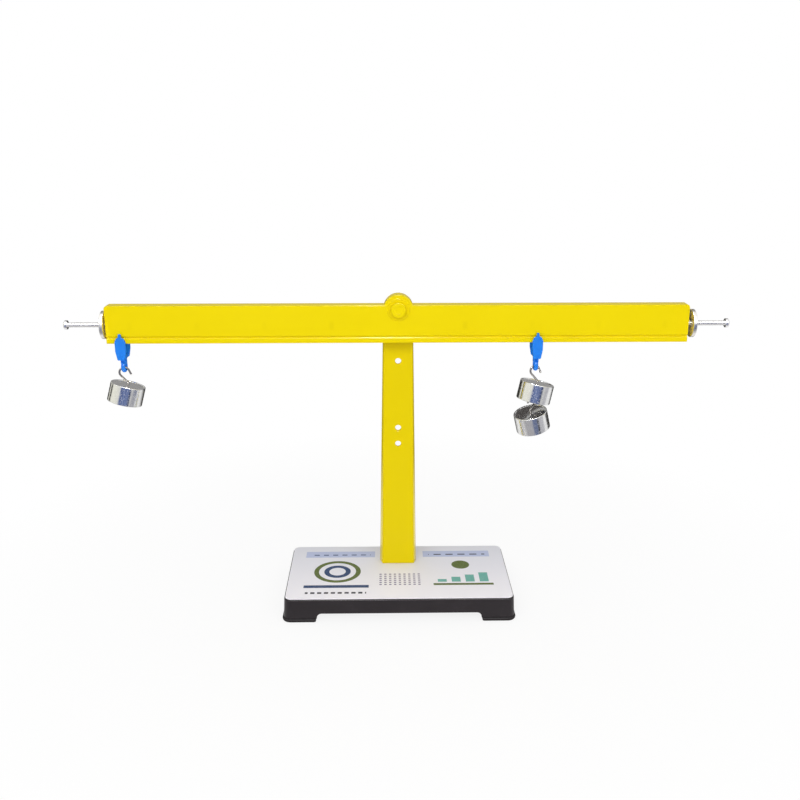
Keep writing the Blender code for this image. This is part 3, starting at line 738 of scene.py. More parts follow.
def metals():
    """The plated finishes: polished drums, screws, rolled discs, drawn wire and plain fasteners."""
    # The drums' nickel is darkened inside their recesses with painted shade.
    nickel = turned_metal("bright_nickel", (0.84, 0.84, 0.83), (0.60, 0.60, 0.61), gloss=0.07,
                          line_depth=0.0000006, mottle=0.45, specks=0.30, hollow=recess_start())
    bright = turned_metal("bright_zinc", (0.92, 0.91, 0.90), (0.74, 0.73, 0.72), gloss=0.20,
                          line_depth=0.0000015, mottle=0.40)
    disc = turned_metal("rolled_disc", (0.84, 0.81, 0.76), (0.66, 0.62, 0.56), gloss=0.24,
                        line_depth=0.0000015, mottle=0.50)
    wire = turned_metal("drawn_wire", (0.42, 0.40, 0.38), (0.22, 0.20, 0.19), gloss=0.14,
                        line_depth=0.000001, mottle=0.6)
    steel = turned_metal("zinc_plated_steel", (0.62, 0.63, 0.65), (0.42, 0.43, 0.45), gloss=0.20,
                         line_depth=0.000003, mottle=0.6)
    return nickel, bright, disc, wire, steel


class Print(Finish):
    """The printed sheet: shapes are masks worked out from the place on the sheet."""

    def __init__(self, name):
        super().__init__(name)
        self.x, self.y, _ = self.split(self.place)

    def bar(self, left, right, front, rear):
        """1 inside an upright rectangle."""
        across = self.math("LESS_THAN", self.difference(self.x, (left + right) / 2), (right - left) / 2)
        along = self.math("LESS_THAN", self.difference(self.y, (front + rear) / 2), (rear - front) / 2)
        return self.both(across, along)

    def away(self, x, y):
        """The distance from a point of the sheet."""
        dx, dy = self.math("SUBTRACT", self.x, x), self.math("SUBTRACT", self.y, y)
        return self.math("SQRT", self.math("ADD", self.both(dx, dx), self.both(dy, dy)))

    def disc(self, x, y, radius):
        """1 inside a circle."""
        return self.math("LESS_THAN", self.away(x, y), radius)

    def hoop(self, x, y, radius, width):
        """1 inside a ring."""
        return self.math("LESS_THAN", self.difference(self.away(x, y), radius), width / 2)

    def checks(self, region, pitch_x, pitch_y, share):
        """1 inside small squares that repeat over a region."""
        column = self.math("LESS_THAN", self.math("FRACT", self.math("DIVIDE", self.x, pitch_x)), share)
        row = self.math("LESS_THAN", self.math("FRACT", self.math("DIVIDE", self.y, pitch_y)), share)
        return self.both(self.both(column, row), region)

    def ink(self, under, mask, colour, strength):
        """Prints a colour where the mask is 1, a little uneven as ink is."""
        uneven = self.spread(self.noise(900.0, 2.0, 0.6), 0.2, 0.8, 0.86 * strength, strength)
        return self.blend(self.both(mask, uneven), under, colour)


def motifs(sheet):
    """The marks on the sheet, as (mask, colour, strength): two bands with dashes, two rings over a bar and a
    row of dashes, a disc over four rising blocks on a bar, and a field of small squares."""
    lilac, purple, navy = srgb(180, 190, 222), srgb(104, 90, 136), srgb(4, 56, 104)
    olive, teal, slate = srgb(84, 102, 4), srgb(100, 172, 160), srgb(34, 36, 46)
    band = (0.0270, 0.0390)
    band_dashes = (0.0310, 0.0340)
    ring_centre = (-0.0540, -0.0010)
    block_left, block_pitch, block_width = 0.0340, 0.0122, 0.0078
    block_foot, block_top, block_rise = -0.0215, -0.0165, 0.0040
    marks = [
        (sheet.bar(-0.0840, -0.0210, *band), lilac, 0.9),
        (sheet.bar(0.0230, 0.0840, *band), lilac, 0.9),
        (sheet.checks(sheet.bar(-0.0800, -0.0250, *band_dashes), 0.0085, 0.0031, 0.55), navy, 1.0),
        (sheet.checks(sheet.bar(0.0280, 0.0800, *band_dashes), 0.0110, 0.0031, 0.60), slate, 1.0),
        (sheet.hoop(*ring_centre, 0.0185, 0.0042), olive, 1.0),
        (sheet.hoop(*ring_centre, 0.0095, 0.0044), navy, 1.0),
        (sheet.bar(-0.0820, -0.0260, -0.0310, -0.0262), navy, 1.0),
        (sheet.disc(0.0560, 0.0110, 0.0080), olive, 1.0),
    ]
    for step in range(4):
        left = block_left + block_pitch * step
        block = sheet.bar(left, left + block_width, block_foot, block_top + block_rise * step)
        marks.append((block, teal, 1.0))
    return marks + [
        (sheet.bar(0.0300, 0.0820, -0.0275, -0.0240), olive, 1.0),
        (sheet.checks(sheet.bar(-0.0190, 0.0210, -0.0270, -0.0040), 0.0042, 0.0038, 0.48), purple, 1.0),
        (sheet.checks(sheet.bar(-0.0800, -0.0280, -0.0415, -0.0385), 0.0058, 0.0060, 0.62), slate, 1.0),
    ]


def printed_sheet():
    """A pale laminated sheet with painted shade that darkens it towards the rear, and marks of the builder's
    own in flat inks.
    """
    sheet = Print("printed_sheet")
    sheet.plain(IOR=1.5, Specular_IOR_Level=0.08)
    cloud = sheet.noise(22.0, 3.0, 0.6)
    # Painted shade: the sheet's tone darkens from its front edge to its rear edge.
    depth = sheet.spread(sheet.y, -base_top_depth / 2, base_top_depth / 2)
    tone = sheet.blend(depth, srgb(251, 248, 254), srgb(220, 221, 228))
    tone = sheet.blend(sheet.both(cloud, 0.25), tone, srgb(230, 230, 240))
    for mask, colour, strength in motifs(sheet):
        tone = sheet.ink(tone, mask, colour, strength)
    gloss = sheet.spread(cloud, 0.2, 0.8, 0.26, 0.36)
    grain = sheet.bump(sheet.noise(260.0, 3.0, 0.6), 0.00001)
    return sheet.into(Base_Color=tone, Roughness=gloss, Normal=grain)


# Base

def base_rows(heights, insets, corner):
    """Rows of round-cornered rectangles whose half sides grow downwards with the draft."""
    rows = []
    for height, pull in zip(heights, insets):
        drop = (base_top_z - height) / base_top_z
        half_x = base_top_width / 2 + base_draft * drop - pull
        half_y = base_top_depth / 2 + base_draft * drop - pull
        rows.append(stood(rectangle(half_x, half_y, corner - pull, 10), height, "Z"))
    return rows


def base_shell():
    """A drafted tray, upside down, as one surface: from the middle of its inner roof, down the inside, round
    the foot, and up the outside to the top. Arches are cut in its sides, and two screw bosses hang inside."""
    angle = np.linspace(0.0, math.pi / 2, 7)
    inner_z = shell_top_z - base_roof
    inner = base_rows([inner_z, inner_z - base_roof_chamfer, shell_foot_z],
                      [base_wall + base_roof_chamfer, base_wall, base_wall], base_corner)
    outer = base_rows(np.concatenate([[shell_foot_z], shell_top_z - base_edge_round * (1 - np.sin(angle))]),
                      np.concatenate([[0.0], base_edge_round * (1 - np.cos(angle))]), base_corner)
    shell = surface(np.stack(inner + outer))
    arches = []
    for half, reach, axis in ((base_top_width / 2 - foot_length, base_top_depth, "Y"),
                              (base_top_depth / 2 - foot_length, base_top_width, "X")):
        corners = [(-half, -overrun), (half, -overrun), (half, foot_arch_z), (-half, foot_arch_z)]
        outline = rounded(corners, [0.0, 0.0, foot_arch_round, foot_arch_round], 10)
        arches.append(slab(outline, -reach, reach, axis=axis))
    shell = worked(shell, "DIFFERENCE", arches)
    bosses, holes = [], []
    boss = [(0.0, -base_boss_height), (base_boss_radius, -base_boss_height),
            (base_boss_radius, base_boss_root), (0.0, base_boss_root)]
    boss = rounded(boss, [0, base_boss_round, 0, 0], 4, closed=False)
    for side in (-1, 1):
        centre = (side * post_screw_spacing / 2, post_screw_y, inner_z)
        bosses.append(turned(boss, "Z", centre, 48))
        holes.append(drill(post_screw_radius + GAP, -through, through, "Z", centre, 32))
    shell = worked(shell, "UNION", bosses)
    return worked(shell, "DIFFERENCE", [joined(holes)])


def label_sheet():
    """The sheet on the shell: a thin slab with round corners and a hole for each screw of the post."""
    outline = rectangle(base_top_width / 2 - label_margin, base_top_depth / 2 - label_margin,
                        base_corner - label_margin, 10)
    sheet = slab(outline, shell_top_z + GAP, base_top_z, label_edge, steps=3)
    holes = []
    for side in (-1, 1):
        centre = (side * post_screw_spacing / 2, post_screw_y, base_top_z)
        holes.append(drill(post_screw_radius + GAP, -through / 2, through / 2, "Z", centre, 32))
    return worked(sheet, "DIFFERENCE", [joined(holes)])


def foot_pad(side_x, side_y):
    """A rubber angle that follows a corner of the shell. Its outer side and its ends draw in by r (1 - sin t)
    where they have risen by r (1 - cos t), with a wide r at the toe and a narrow one at the shoulder."""
    reach_x = base_top_width / 2 + base_draft
    reach_y = base_top_depth / 2 + base_draft
    angle = np.linspace(0.0, math.pi / 2, 8)
    heights = np.concatenate([pad_toe * (1 - np.cos(angle)),
                              pad_height - pad_shoulder * (1 - np.cos(angle[::-1]))])
    pulls = np.concatenate([pad_toe * (1 - np.sin(angle)), pad_shoulder * (1 - np.sin(angle[::-1]))])
    rows = []
    for height, pull in zip(heights, pulls):
        out_x, out_y = reach_x + pad_bulge - pull, reach_y + pad_bulge - pull
        end_x, end_y = reach_x - pad_length + pull, reach_y - pad_length + pull
        in_x, in_y = reach_x - pad_wall, reach_y - pad_wall
        corners = [(end_x, in_y), (in_x, in_y), (in_x, end_y), (out_x, end_y), (out_x, out_y), (end_x, out_y)]
        radii = [pad_end_round, pad_inner_round, pad_end_round, pad_end_round,
                 base_corner + pad_bulge - pull, pad_end_round]
        outline = rounded(corners, radii, 8)
        rows.append(stood(outline * (side_x, side_y), height, "Z"))
    return surface(np.stack(rows))


# Post

def post_outline(foot_half, neck_half, head, bottom):
    """Straight tapering sides that run into a round head about the pivot, as (x, z), anticlockwise."""
    slope = (foot_half - neck_half) / (post_neck_z - post_foot_z)
    shoulder_z = pivot_z - post_shoulder_drop
    shoulder = np.array([foot_half - slope * (shoulder_z - post_foot_z), -post_shoulder_drop])
    tangent = math.degrees(math.atan2(shoulder[1], shoulder[0]) + math.acos(head / np.hypot(*shoulder)))
    base_x = foot_half - slope * (bottom - post_foot_z)
    head_arc = arc_points((0.0, pivot_z), head, tangent, 180.0 - tangent, 36)
    sides = np.array([(-base_x, bottom), (base_x, bottom), (shoulder[0], shoulder_z)])
    return np.concatenate([sides, head_arc, [(-shoulder[0], shoulder_z)]])


def post_rows(depths, insets, bottom):
    """Outlines of the post at several depths, wider towards its back."""
    rows = []
    for y, pull in zip(depths, insets):
        share = (y - post_front_y) / post_depth
        foot_half = post_foot_half + post_foot_flare * share - pull
        neck_half = post_neck_half + post_neck_flare * share - pull
        rows.append(stood(post_outline(foot_half, neck_half, post_head_radius - pull, bottom), y, "Y"))
    return np.stack(rows)


def lipped_hole(radius, lip, front, back):
    """The profile of a hole whose front rim is most of a quarter circle: its radius is
    r + l - sqrt(l^2 - (l - d)^2) at a depth d under l."""
    angle = np.radians(np.linspace(lip_start_angle, 90.0, 7))
    rim = np.stack([radius + lip * (1 - np.sin(angle)), front + lip * (1 - np.cos(angle))], -1)
    mouth = [(0.0, front - lip_overrun), (rim[0, 0], front - lip_overrun)]
    return np.concatenate([mouth, rim, [(radius, back), (0.0, back)]])


def post_body():
    """The post: a lofted front with a round rim, hollowed from the back, with three holes, the axle's bore
    and the pilot holes of the two screws in its foot."""
    angle = np.linspace(0.0, math.pi / 2, 7)
    depths = np.concatenate([post_front_y + post_edge_round * (1 - np.cos(angle)),
                             [post_back_y - post_back_chamfer, post_back_y]])
    insets = np.concatenate([post_edge_round * (1 - np.sin(angle)), [0.0, post_back_chamfer]])
    body = surface(post_rows(depths, insets, post_foot_z))
    front = post_front_y + post_front_wall
    walls = [post_side_wall + post_hollow_chamfer, post_side_wall, post_side_wall]
    hollow = post_rows([front, front + post_hollow_chamfer, post_back_y + overrun], walls,
                       post_foot_z + post_foot_block)
    body = worked(body, "DIFFERENCE", [surface(hollow)])
    drilled_y = post_front_y + drill_reach
    profile = lipped_hole(post_hole_radius, post_hole_lip, post_front_y, drilled_y)
    cutters = [turned(profile, "Y", (0.0, 0.0, height), 48) for height in post_hole_heights]
    profile = lipped_hole(axle_radius + GAP, axle_hole_lip, post_front_y, drilled_y)
    cutters.append(turned(profile, "Y", (0.0, 0.0, pivot_z), 48))
    pilot = post_screw_length - base_boss_height - (post_foot_z - (shell_top_z - base_roof)) + 2 * GAP
    for side in (-1, 1):
        centre = (side * post_screw_spacing / 2, post_screw_y, post_foot_z)
        cutters.append(drill(post_screw_radius + GAP, -drill_reach, pilot, "Z", centre, 24))
    return worked(body, "DIFFERENCE", [joined(cutters)])


def threaded_rows(start, stop, radius, pitch, depth):
    """Radii, distances and angles of a screw thread: at distance d and angle a the radius is r less the depth
    times a clipped triangle wave of d / pitch - a / 2 pi, which fades out over the last turn at both ends."""
    sides, per_turn = 36, 8
    turns = abs(stop - start) / pitch
    distance = np.linspace(start, stop, int(turns * per_turn) + 1)[:, None]
    angle = np.arange(sides) * (2 * math.pi / sides)
    phase = (distance / pitch - angle / (2 * math.pi)) % 1.0
    wave = np.clip(np.abs(2 * phase - 1) * 1.5 - 0.25, 0.0, 1.0)
    fade = np.clip(np.minimum(np.abs(distance - start), np.abs(stop - distance)) / pitch, 0.0, 1.0)
    return radius - depth * wave * fade, np.broadcast_to(distance, wave.shape), angle


def screw_with_head(head, start, stop, radius, pitch, depth, axis, centre):
    """A threaded shank and its turned head as one surface from the blunt tip to the middle of the head."""
    radii, distances, angle = threaded_rows(start, stop, radius, pitch, depth)
    root = radius - depth
    tip = start - math.copysign(0.4 * root, stop - start)
    lead, head = [np.repeat(np.asarray(rows)[:, :, None], len(angle), 2)
                  for rows in ([(0.0, tip), (0.7 * root, tip)], head)]
    radii = np.concatenate([lead[:, 0], radii, head[:, 0]])
    distances = np.concatenate([lead[:, 1], distances, head[:, 1]])
    return surface(laid(radii * np.cos(angle), radii * np.sin(angle), distances, axis) + np.asarray(centre))


def cross_recess(place, direction, axis, centre, span, depth):
    """The cutters of a cross recess: two thin slabs that cross on the axis of a screw."""
    low, high = sorted((place - direction * depth, place + direction * cross_overrun))
    slots = []
    for across, up in ((span, cross_slot_half), (cross_slot_half, span)):
        mesh = slab(rectangle(across, up, cross_slot_corner, 2), low, high, axis=axis)
        mesh.transform(Matrix.Translation(centre))
        slots.append(mesh)
    return slots


def post_screw(side):
    """A self-cutting screw that comes up through a boss of the shell into the foot of the post."""
    seat = shell_top_z - base_roof - base_boss_height - GAP
    centre = (side * post_screw_spacing / 2, post_screw_y, seat)
    head = rounded([(post_screw_radius, 0.0), (post_screw_head_radius, 0.0),
                    (post_screw_head_radius, -post_screw_head_height), (0.0, -post_screw_head_height)],
                   [0, 0.0002, 0.0009, 0], 5, closed=False)
    screw = screw_with_head(head, post_screw_length - post_thread_from_tip, post_thread_from_head,
                            post_screw_radius, post_screw_pitch, post_screw_thread_depth, "Z", centre)
    recess = cross_recess(-post_screw_head_height, -1.0, "Z", centre, post_screw_cross,
                          post_screw_cross_depth)
    return worked(screw, "DIFFERENCE", recess)


# Pivot

def pivot_axle():
    """A plain pin with chamfered ends."""
    tip = beam_front_y - hub_ring_height - cap_bore_depth
    back = post_back_y - 0.0002
    corners = [(0.0, tip), (axle_radius, tip), (axle_radius, back), (0.0, back)]
    return turned(rounded(corners, [0, 0.0007, 0.0007, 0], 4, closed=False), "Y", (0.0, 0.0, pivot_z), 48)


def pivot_washer():
    """A flat ring between the beam and the post."""
    bore = axle_radius + GAP
    start, stop = beam_back_y + GAP, post_front_y - GAP
    corners = [(bore, start), (washer_radius, start), (washer_radius, stop), (bore, stop)]
    profile = rounded(corners, [0.0002, 0.0004, 0.0004, 0.0002], 4)
    return turned(profile, "Y", (0.0, 0.0, pivot_z), 72, bored=True)


def pivot_cap():
    """The cap on the axle: a button with a domed rim, bored from behind."""
    front = beam_front_y - hub_ring_height - GAP
    face = front - cap_height
    bore = axle_radius + GAP
    deep = front - cap_bore_depth
    corners = [(0.0, deep), (bore, deep), (bore, front), (cap_radius, front), (cap_radius, face),
               (cap_radius * 0.55, face), (cap_radius * 0.50, face + cap_dish), (0.0, face + cap_dish)]
    radii = [0, 0, 0.0002, 0.0003, cap_dome, 0.0002, 0.0002, 0]
    return turned(rounded(corners, radii, 7, closed=False), "Y", (0.0, 0.0, pivot_z), 96)


# Beam

def beam_outline():
    """The solid outline of the beam across its length, as (y, z): a plain back, and a grooved rail in front,
    whose upper edge is a quarter of an ellipse: (deep - d sin t, top - h (1 - cos t))."""
    front, back = beam_front_y, beam_back_y
    rail = front + rail_set_back
    rail_top = beam_bottom_z + rail_height
    foot = rail_top + groove_height
    deep = front + groove_depth
    turn = np.linspace(0.0, math.pi / 2, 10)
    bead = np.stack([deep - (deep - rail) * np.sin(turn), rail_top - rail_bead * (1 - np.cos(turn))], -1)
    corners = [(rail, beam_bottom_z), (back, beam_bottom_z), (back, beam_top_z), (front, beam_top_z),
               (front, foot), (deep, foot), (deep, rail_top), (rail, rail_top - rail_bead)]
    radii = [rail_round, rail_round, beam_back_edge, beam_front_edge, groove_edge, groove_root, 0.0, 0.0]
    return np.concatenate([rounded(corners, radii, 6)[:-2], bead])


def beam_stations():
    """Places along the beam, close together near its ends, and the distance of each from the nearer end."""
    near = np.concatenate([beam_end_round * (1 - np.cos(np.linspace(0.0, math.pi / 2, 6))),
                           np.linspace(0.0008, beam_corner, 8)])
    inner = np.linspace(-beam_half + 2 * beam_corner, beam_half - 2 * beam_corner, 9)
    places = np.concatenate([-beam_half + near, inner, (beam_half - near)[::-1]])
    return places, beam_half - np.abs(places)


def beam_body():
    """The beam: its outline carried along X. Near each end the outline shrinks by r - sqrt(r^2 - (r - s)^2),
    s being the distance from the end, and its top comes down in the same way with a wider r. Cells and a
    trough are sunk from the back, the hub is united with it, and the axle's and the screws' bores are cut."""
    outline = beam_outline()
    rows = []
    for x, from_end in zip(*beam_stations()):
        left = max(beam_end_round - from_end, 0.0)
        pull = beam_end_round - math.sqrt(beam_end_round ** 2 - left ** 2)
        left = max(beam_corner - from_end, 0.0)
        drop = beam_corner - math.sqrt(max(beam_corner ** 2 - left ** 2, 0.0))
        row = inset(outline, pull)
        row[:, 1] -= drop * (row[:, 1] > beam_top_z - beam_crown)
        rows.append(stood(row, x, "X"))
    body = surface(np.stack(rows))
    body = worked(body, "DIFFERENCE", [joined(beam_cells()), beam_trough()])
    cutters = [drill(axle_radius + GAP, -through, axle_drill_end, "Y", (0.0, 0.0, pivot_z), 48)]
    for side in (-1, 1):
        centre = (side * beam_half, screw_y, screw_z)
        cutters.append(drill(screw_radius + GAP, -2 * end_wall, 2 * end_wall, "X", centre, 40))
    return worked(worked(body, "UNION", [beam_hub()]), "DIFFERENCE", cutters)


def beam_hub():
    """The hub round the axle: a thick disc in the beam's own depth, and a lower ring that stands in front."""
    back, front = beam_back_y - hub_sink, beam_front_y + hub_sink
    face = beam_front_y - hub_ring_height
    corners = [(0.0, back), (hub_radius, back), (hub_radius, front), (hub_ring_radius, front),
               (hub_ring_radius, face), (0.0, face)]
    radii = [0, hub_back_round, hub_front_round, hub_foot_round, hub_ring_round, 0]
    return turned(rounded(corners, radii, 6, closed=False), "Y", (0.0, 0.0, pivot_z), 120)


def beam_cells():
    """The cutters of the cells between the ribs: round-cornered boxes with a round floor."""
    floor, roof = beam_bottom_z + rail_height, beam_top_z - beam_flange
    web = beam_front_y + beam_web
    sections = ((web, cell_floor_round), (web + cell_floor_step, cell_floor_step),
                (web + cell_floor_round, 0.0), (beam_back_y + overrun, 0.0))
    edges = [rib_pitch * k for k in range(rib_count + 1)]
    cells = []
    for side in (-1, 1):
        for k, low in enumerate(edges):
            start = low + (rib_thickness / 2 if k else middle_rib_half)
            stop = edges[k + 1] - rib_thickness / 2 if k < rib_count else beam_half - end_wall
            outline = rectangle((stop - start) / 2, (roof - floor) / 2, cell_corner, 5)
            outline = outline + (side * (start + stop) / 2, (floor + roof) / 2)
            cells.append(surface(np.stack([stood(inset(outline, pull), y, "Y") for y, pull in sections])))
    return cells


def beam_trough():
    """The cutter of the shallow trough behind the ribs, from one end wall to the other."""
    floor, roof = beam_bottom_z + rail_height, beam_top_z - beam_flange
    outline = rectangle(beam_half - end_wall, (roof - floor) / 2, cell_corner, 5)
    outline = outline + (0.0, (floor + roof) / 2)
    return slab(outline, beam_back_y - rib_set_back, beam_back_y + overrun, axis="Y")


def balance_screw(side):
    """A pan-headed screw along the beam, threaded from its tip to its head, with a cross recess."""
    seat = beam_half + screw_stand_out
    tip = beam_half - end_wall - GAP - lock_nut_height - screw_tip
    corners = [(screw_radius, seat), (screw_head_radius, seat), (screw_head_radius, seat + screw_head_height),
               (0.0, seat + screw_head_height)]
    head = rounded(corners, [0, 0.0002, screw_head_round, 0], 8, closed=False) * (1.0, side)
    centre = (0.0, screw_y, screw_z)
    start, stop = side * (tip + screw_thread_from_tip), side * (seat - screw_thread_from_head)
    screw = screw_with_head(head, start, stop, screw_radius, screw_pitch, screw_thread_depth, "X", centre)
    crown = side * (seat + screw_head_height)
    recess = cross_recess(crown, side, "X", centre, screw_cross, screw_cross_depth)
    return worked(screw, "DIFFERENCE", recess)


def balance_nut(side, stand_off):
    """The disc nut: a flat ring with a fine chamfer and a shallow turned step round its bore."""
    inner = beam_half + stand_off
    outer = inner + disc_thickness
    bore = screw_radius + GAP
    step = outer - disc_step_depth
    corners = [(bore, inner), (disc_radius, inner), (disc_radius, outer), (disc_step_rim, outer),
               (disc_step_foot, step), (bore, step)]
    profile = rounded(corners, [0.0002, disc_edge, disc_edge, 0.0001, 0.0001, 0.0002], 4) * (1.0, side)
    return turned(profile, "X", (0.0, screw_y, screw_z), 120, bored=True)


def lock_nut(side):
    """The hexagon nut inside an end wall."""
    start = side * (beam_half - end_wall - GAP) - (lock_nut_height if side > 0 else 0.0)
    return hexagon_nut(lock_nut_flats, lock_nut_height, screw_radius + GAP, "X", (start, screw_y, screw_z))


# Runners

def plate_outline(top, nib):
    """The shield outline of a plate, as (x, z) from the beam's lower edge, with a nib or a blunt top."""
    right = [(plate_foot_half, -plate_bottom), (plate_half_width, -plate_bottom * 0.45),
             (plate_half_width, plate_shoulder * 0.30)]
    radii = [0.0010, 0.0040, 0.0020]
    if nib:
        right += [(plate_half_width - 0.0013, plate_shoulder),
                  (nib_half_width + 0.0003, plate_shoulder + 0.0007), (nib_half_width, top)]
        radii += [0.0008, 0.0006, nib_half_width * 0.75]
    else:
        right += [(plate_half_width - 0.0016, plate_shoulder), (rear_tooth_half, top)]
        radii += [0.0003, 0.0005]
    left = [(-x, z) for x, z in reversed(right)]
    return rounded(right + left, radii + radii[::-1], 6)


def runner():
    """A runner about the middle of the beam's lower edge: two plates, teeth over the rail, a bridge, a stem
    and a ring. The ring's wire is an ellipse of half axes w and t carried round a circle of radius R:
    (w sin b, (R + t cos b) cos a, (R + t cos b) sin a)."""
    inner = beam_depth / 2 + plate_clearance
    outer = inner + plate_thickness
    rooted = inner + rod_root
    tooth_low = rail_height + GAP
    tooth_top = tooth_low + tooth_height
    front = slab(plate_outline(nib_top, True), -outer, -inner, plate_edge, "Y", 4)
    rear = slab(plate_outline(tooth_low + 2 * tooth_height, False), inner, outer, plate_edge, "Y", 4)
    parts = [rear,
             rod(front_tooth_half, tooth_low, tooth_top, -rooted, front_tooth_length - inner, 0.0001),
             rod(rear_tooth_half - 0.0006, tooth_low, tooth_top, inner - rear_tooth_length, rooted, 0.0001),
             rod(bridge_half - 0.0003, 0.0002 - plate_bottom, bridge_height - plate_bottom, -rooted, rooted,
                 0.0004)]
    ring_z = -eye_drop + seat_radius + eye_hole_radius
    stem = rectangle(stem_half, stem_half_depth, 0.0007, 5)
    parts.append(slab(stem, ring_z + eye_hole_radius + 0.0004, 0.0012 - plate_bottom))
    turn = (np.arange(72) + 0.5)[:, None] * (2 * math.pi / 72)
    wire = np.arange(24) * (2 * math.pi / 24)
    reach = eye_hole_radius + seat_radius + seat_radius * np.cos(wire)[None]
    x = np.broadcast_to(eye_half_width * np.sin(wire), (72, 24))
    ring = np.stack([x, reach * np.cos(turn), ring_z + reach * np.sin(turn)], -1)
    parts.append(surface(ring, ring=True))
    return worked(front, "UNION", parts)


def rod(half_x, low_z, high_z, low_y, high_y, corner):
    """A bar along Y with round long edges, symmetrical about the plane x = 0."""
    outline = rectangle(half_x, (high_z - low_z) / 2, corner, 4) + (0.0, (low_z + high_z) / 2)
    return slab(outline, low_y, high_y, axis="Y")


# Weights

def weight_profile():
    """Half the section of a weight, as (radius, height above its top rim): a socket for the hook, a shallow
    dish, the drum's wall, and a deep recess below."""
    bore = hook_wire + GAP
    low = -weight_height
    roof = low + recess_depth
    corners = [(0.0, -hook_bury - GAP), (bore, -hook_bury - GAP), (bore, -dish_depth),
               (dish_radius - dish_slope, -dish_depth), (dish_radius, 0.0), (weight_radius, 0.0),
               (weight_radius, low), (recess_radius, low), (recess_radius, roof), (0.0, roof)]
    radii = [0, 0, 0.0002, 0.0002, 0.0003, weight_edge, weight_edge, 0.0004, 0.0010, 0]
    return rounded(corners, radii, 7, closed=False)


def recess_start():
    """How far along the section of a weight, from the axis above, the wall of its recess starts."""
    profile = weight_profile()
    lengths = np.cumsum(np.linalg.norm(np.diff(profile, axis=0), axis=-1))
    return float(lengths[np.argmin(profile[:, 1])]) + weight_radius - recess_radius


def weight_body():
    """The drum of a weight, with sockets in its wall for the crossbar."""
    body = turned(weight_profile(), "Z", (hook_offset, 0.0, -hook_seat_rise), 144)
    return worked(body, "DIFFERENCE", [crossbar(seat_radius + GAP, recess_radius + bar_socket + GAP, 0.0)])


def crossbar(radius, reach, edge=0.0003):
    """A round bar across the recess, turned from the plane of the hook."""
    corners = [(0.0, -reach), (radius, -reach), (radius, reach), (0.0, reach)]
    bar = turned(rounded(corners, [0, edge, edge, 0], 4, closed=False), "X", (0.0, 0.0, 0.0), 40)
    bar.transform(Matrix.Translation((hook_offset, 0.0, -bar_drop))
                  @ Matrix.Rotation(math.radians(bar_turn), 4, "Z"))
    return bar


def hook():
    """The wire hook, a tube along its route: shank, bend, slanting run, bowl and straight tip."""
    turn = hook_rise_angle - 90.0
    setback = hook_bend * math.tan(math.radians(turn) / 2)
    shank = np.stack([np.zeros(5), np.linspace(-hook_bury, hook_shank - setback, 5)], -1)
    bend = arc_points((-hook_bend, hook_shank - setback), hook_bend, 0.0, turn, 10)
    bowl = arc_points((-hook_offset, hook_bowl_rise), hook_bowl, hook_rise_angle + 90.0,
                      hook_tip_angle + 90.0, 56)
    run = bend[-1] + (bowl[0] - bend[-1]) * np.linspace(0.0, 1.0, 6)[1:-1, None]
    away = np.array([math.cos(math.radians(hook_tip_angle)), math.sin(math.radians(hook_tip_angle))])
    tip = bowl[-1] + away * np.linspace(0.0, hook_tip_length - hook_wire * 0.8, 6)[1:, None]
    path = np.concatenate([shank, bend[1:], run, bowl, tip]) + (hook_offset, -hook_seat_rise)
    return tube(path, hook_wire - wire_slack)


def leaning(facing, tilt, place):
    """A place, with a turn by this tilt towards this compass angle."""
    return (Matrix.Translation(place) @ Matrix.Rotation(math.radians(facing), 4, "Z")
            @ Matrix.Rotation(tilt, 4, "Y"))


def weight_places():
    """Where each weight's own frame lies: its origin is the point that it swings about."""
    eye_z = beam_bottom_z - eye_drop
    upper = leaning(upper_facing, loaded_tilt, (hanger_right_x, beam_middle_y, eye_z))
    turn = math.radians(bar_turn)
    contact = upper @ Vector((hook_offset + lower_contact_shift * math.cos(turn),
                              lower_contact_shift * math.sin(turn), -bar_drop))
    return {"left": leaning(left_facing, lone_tilt, (hanger_left_x, beam_middle_y, eye_z)),
            "upper": upper,
            "lower": leaning(upper_facing + bar_turn - 90.0 + lower_twist, lone_tilt, contact)}


def moved(mesh, matrix):
    """A copy of a mesh, put in its place."""
    copy = mesh.copy()
    copy.transform(matrix)
    return copy


# The whole balance

def stand_pieces(yellow, post_yellow_shaded, steel):
    """The base, the post and the pivot."""
    piece("shell", base_shell(), dark_plastic(), "stand", "base_shell", weighted=True)
    piece("label", label_sheet(), printed_sheet(), "stand", "base_label", weighted=True)
    rubber = pad_rubber()
    for row, side_y in (("front", -1), ("rear", 1)):
        for column, side_x in (("left", -1), ("right", 1)):
            name = row + "_" + column
            piece("pad_" + name, foot_pad(side_x, side_y), rubber, "stand", "foot_pad_" + name)
    piece("post_moulding", post_body(), post_yellow_shaded, "stand", "post", weighted=True)
    for word, side in (("left", -1), ("right", 1)):
        piece("foot_screw_" + word, post_screw(side), steel, "stand", "post_screw_" + word)
    piece("axle", pivot_axle(), steel, "stand", "pivot_axle")
    nut = hexagon_nut(axle_nut_flats, axle_nut_height, axle_radius + GAP, "Y",
                      (0.0, post_front_y + post_front_wall + GAP, pivot_z))
    piece("axle_nut", nut, steel, "stand", "pivot_nut")
    piece("washer", pivot_washer(), steel, "stand", "pivot_washer")
    piece("cap", pivot_cap(), yellow, "stand", "pivot_cap", weighted=True)


def beam_pieces(yellow, bright, disc, steel):
    """The beam, its screws and their nuts."""
    piece("beam_moulding", beam_body(), yellow, "beam", "beam", weighted=True)
    for word, side, stand_off in (("left", -1, disc_stand_off_left), ("right", 1, disc_stand_off_right)):
        piece("trim_screw_" + word, balance_screw(side), bright, "beam", "balance_screw_" + word)
        piece("trim_lock_nut_" + word, lock_nut(side), steel, "beam", "lock_nut_" + word)
        piece("trim_disc_" + word, balance_nut(side, stand_off), disc, "nut_" + word, "balance_nut_" + word)


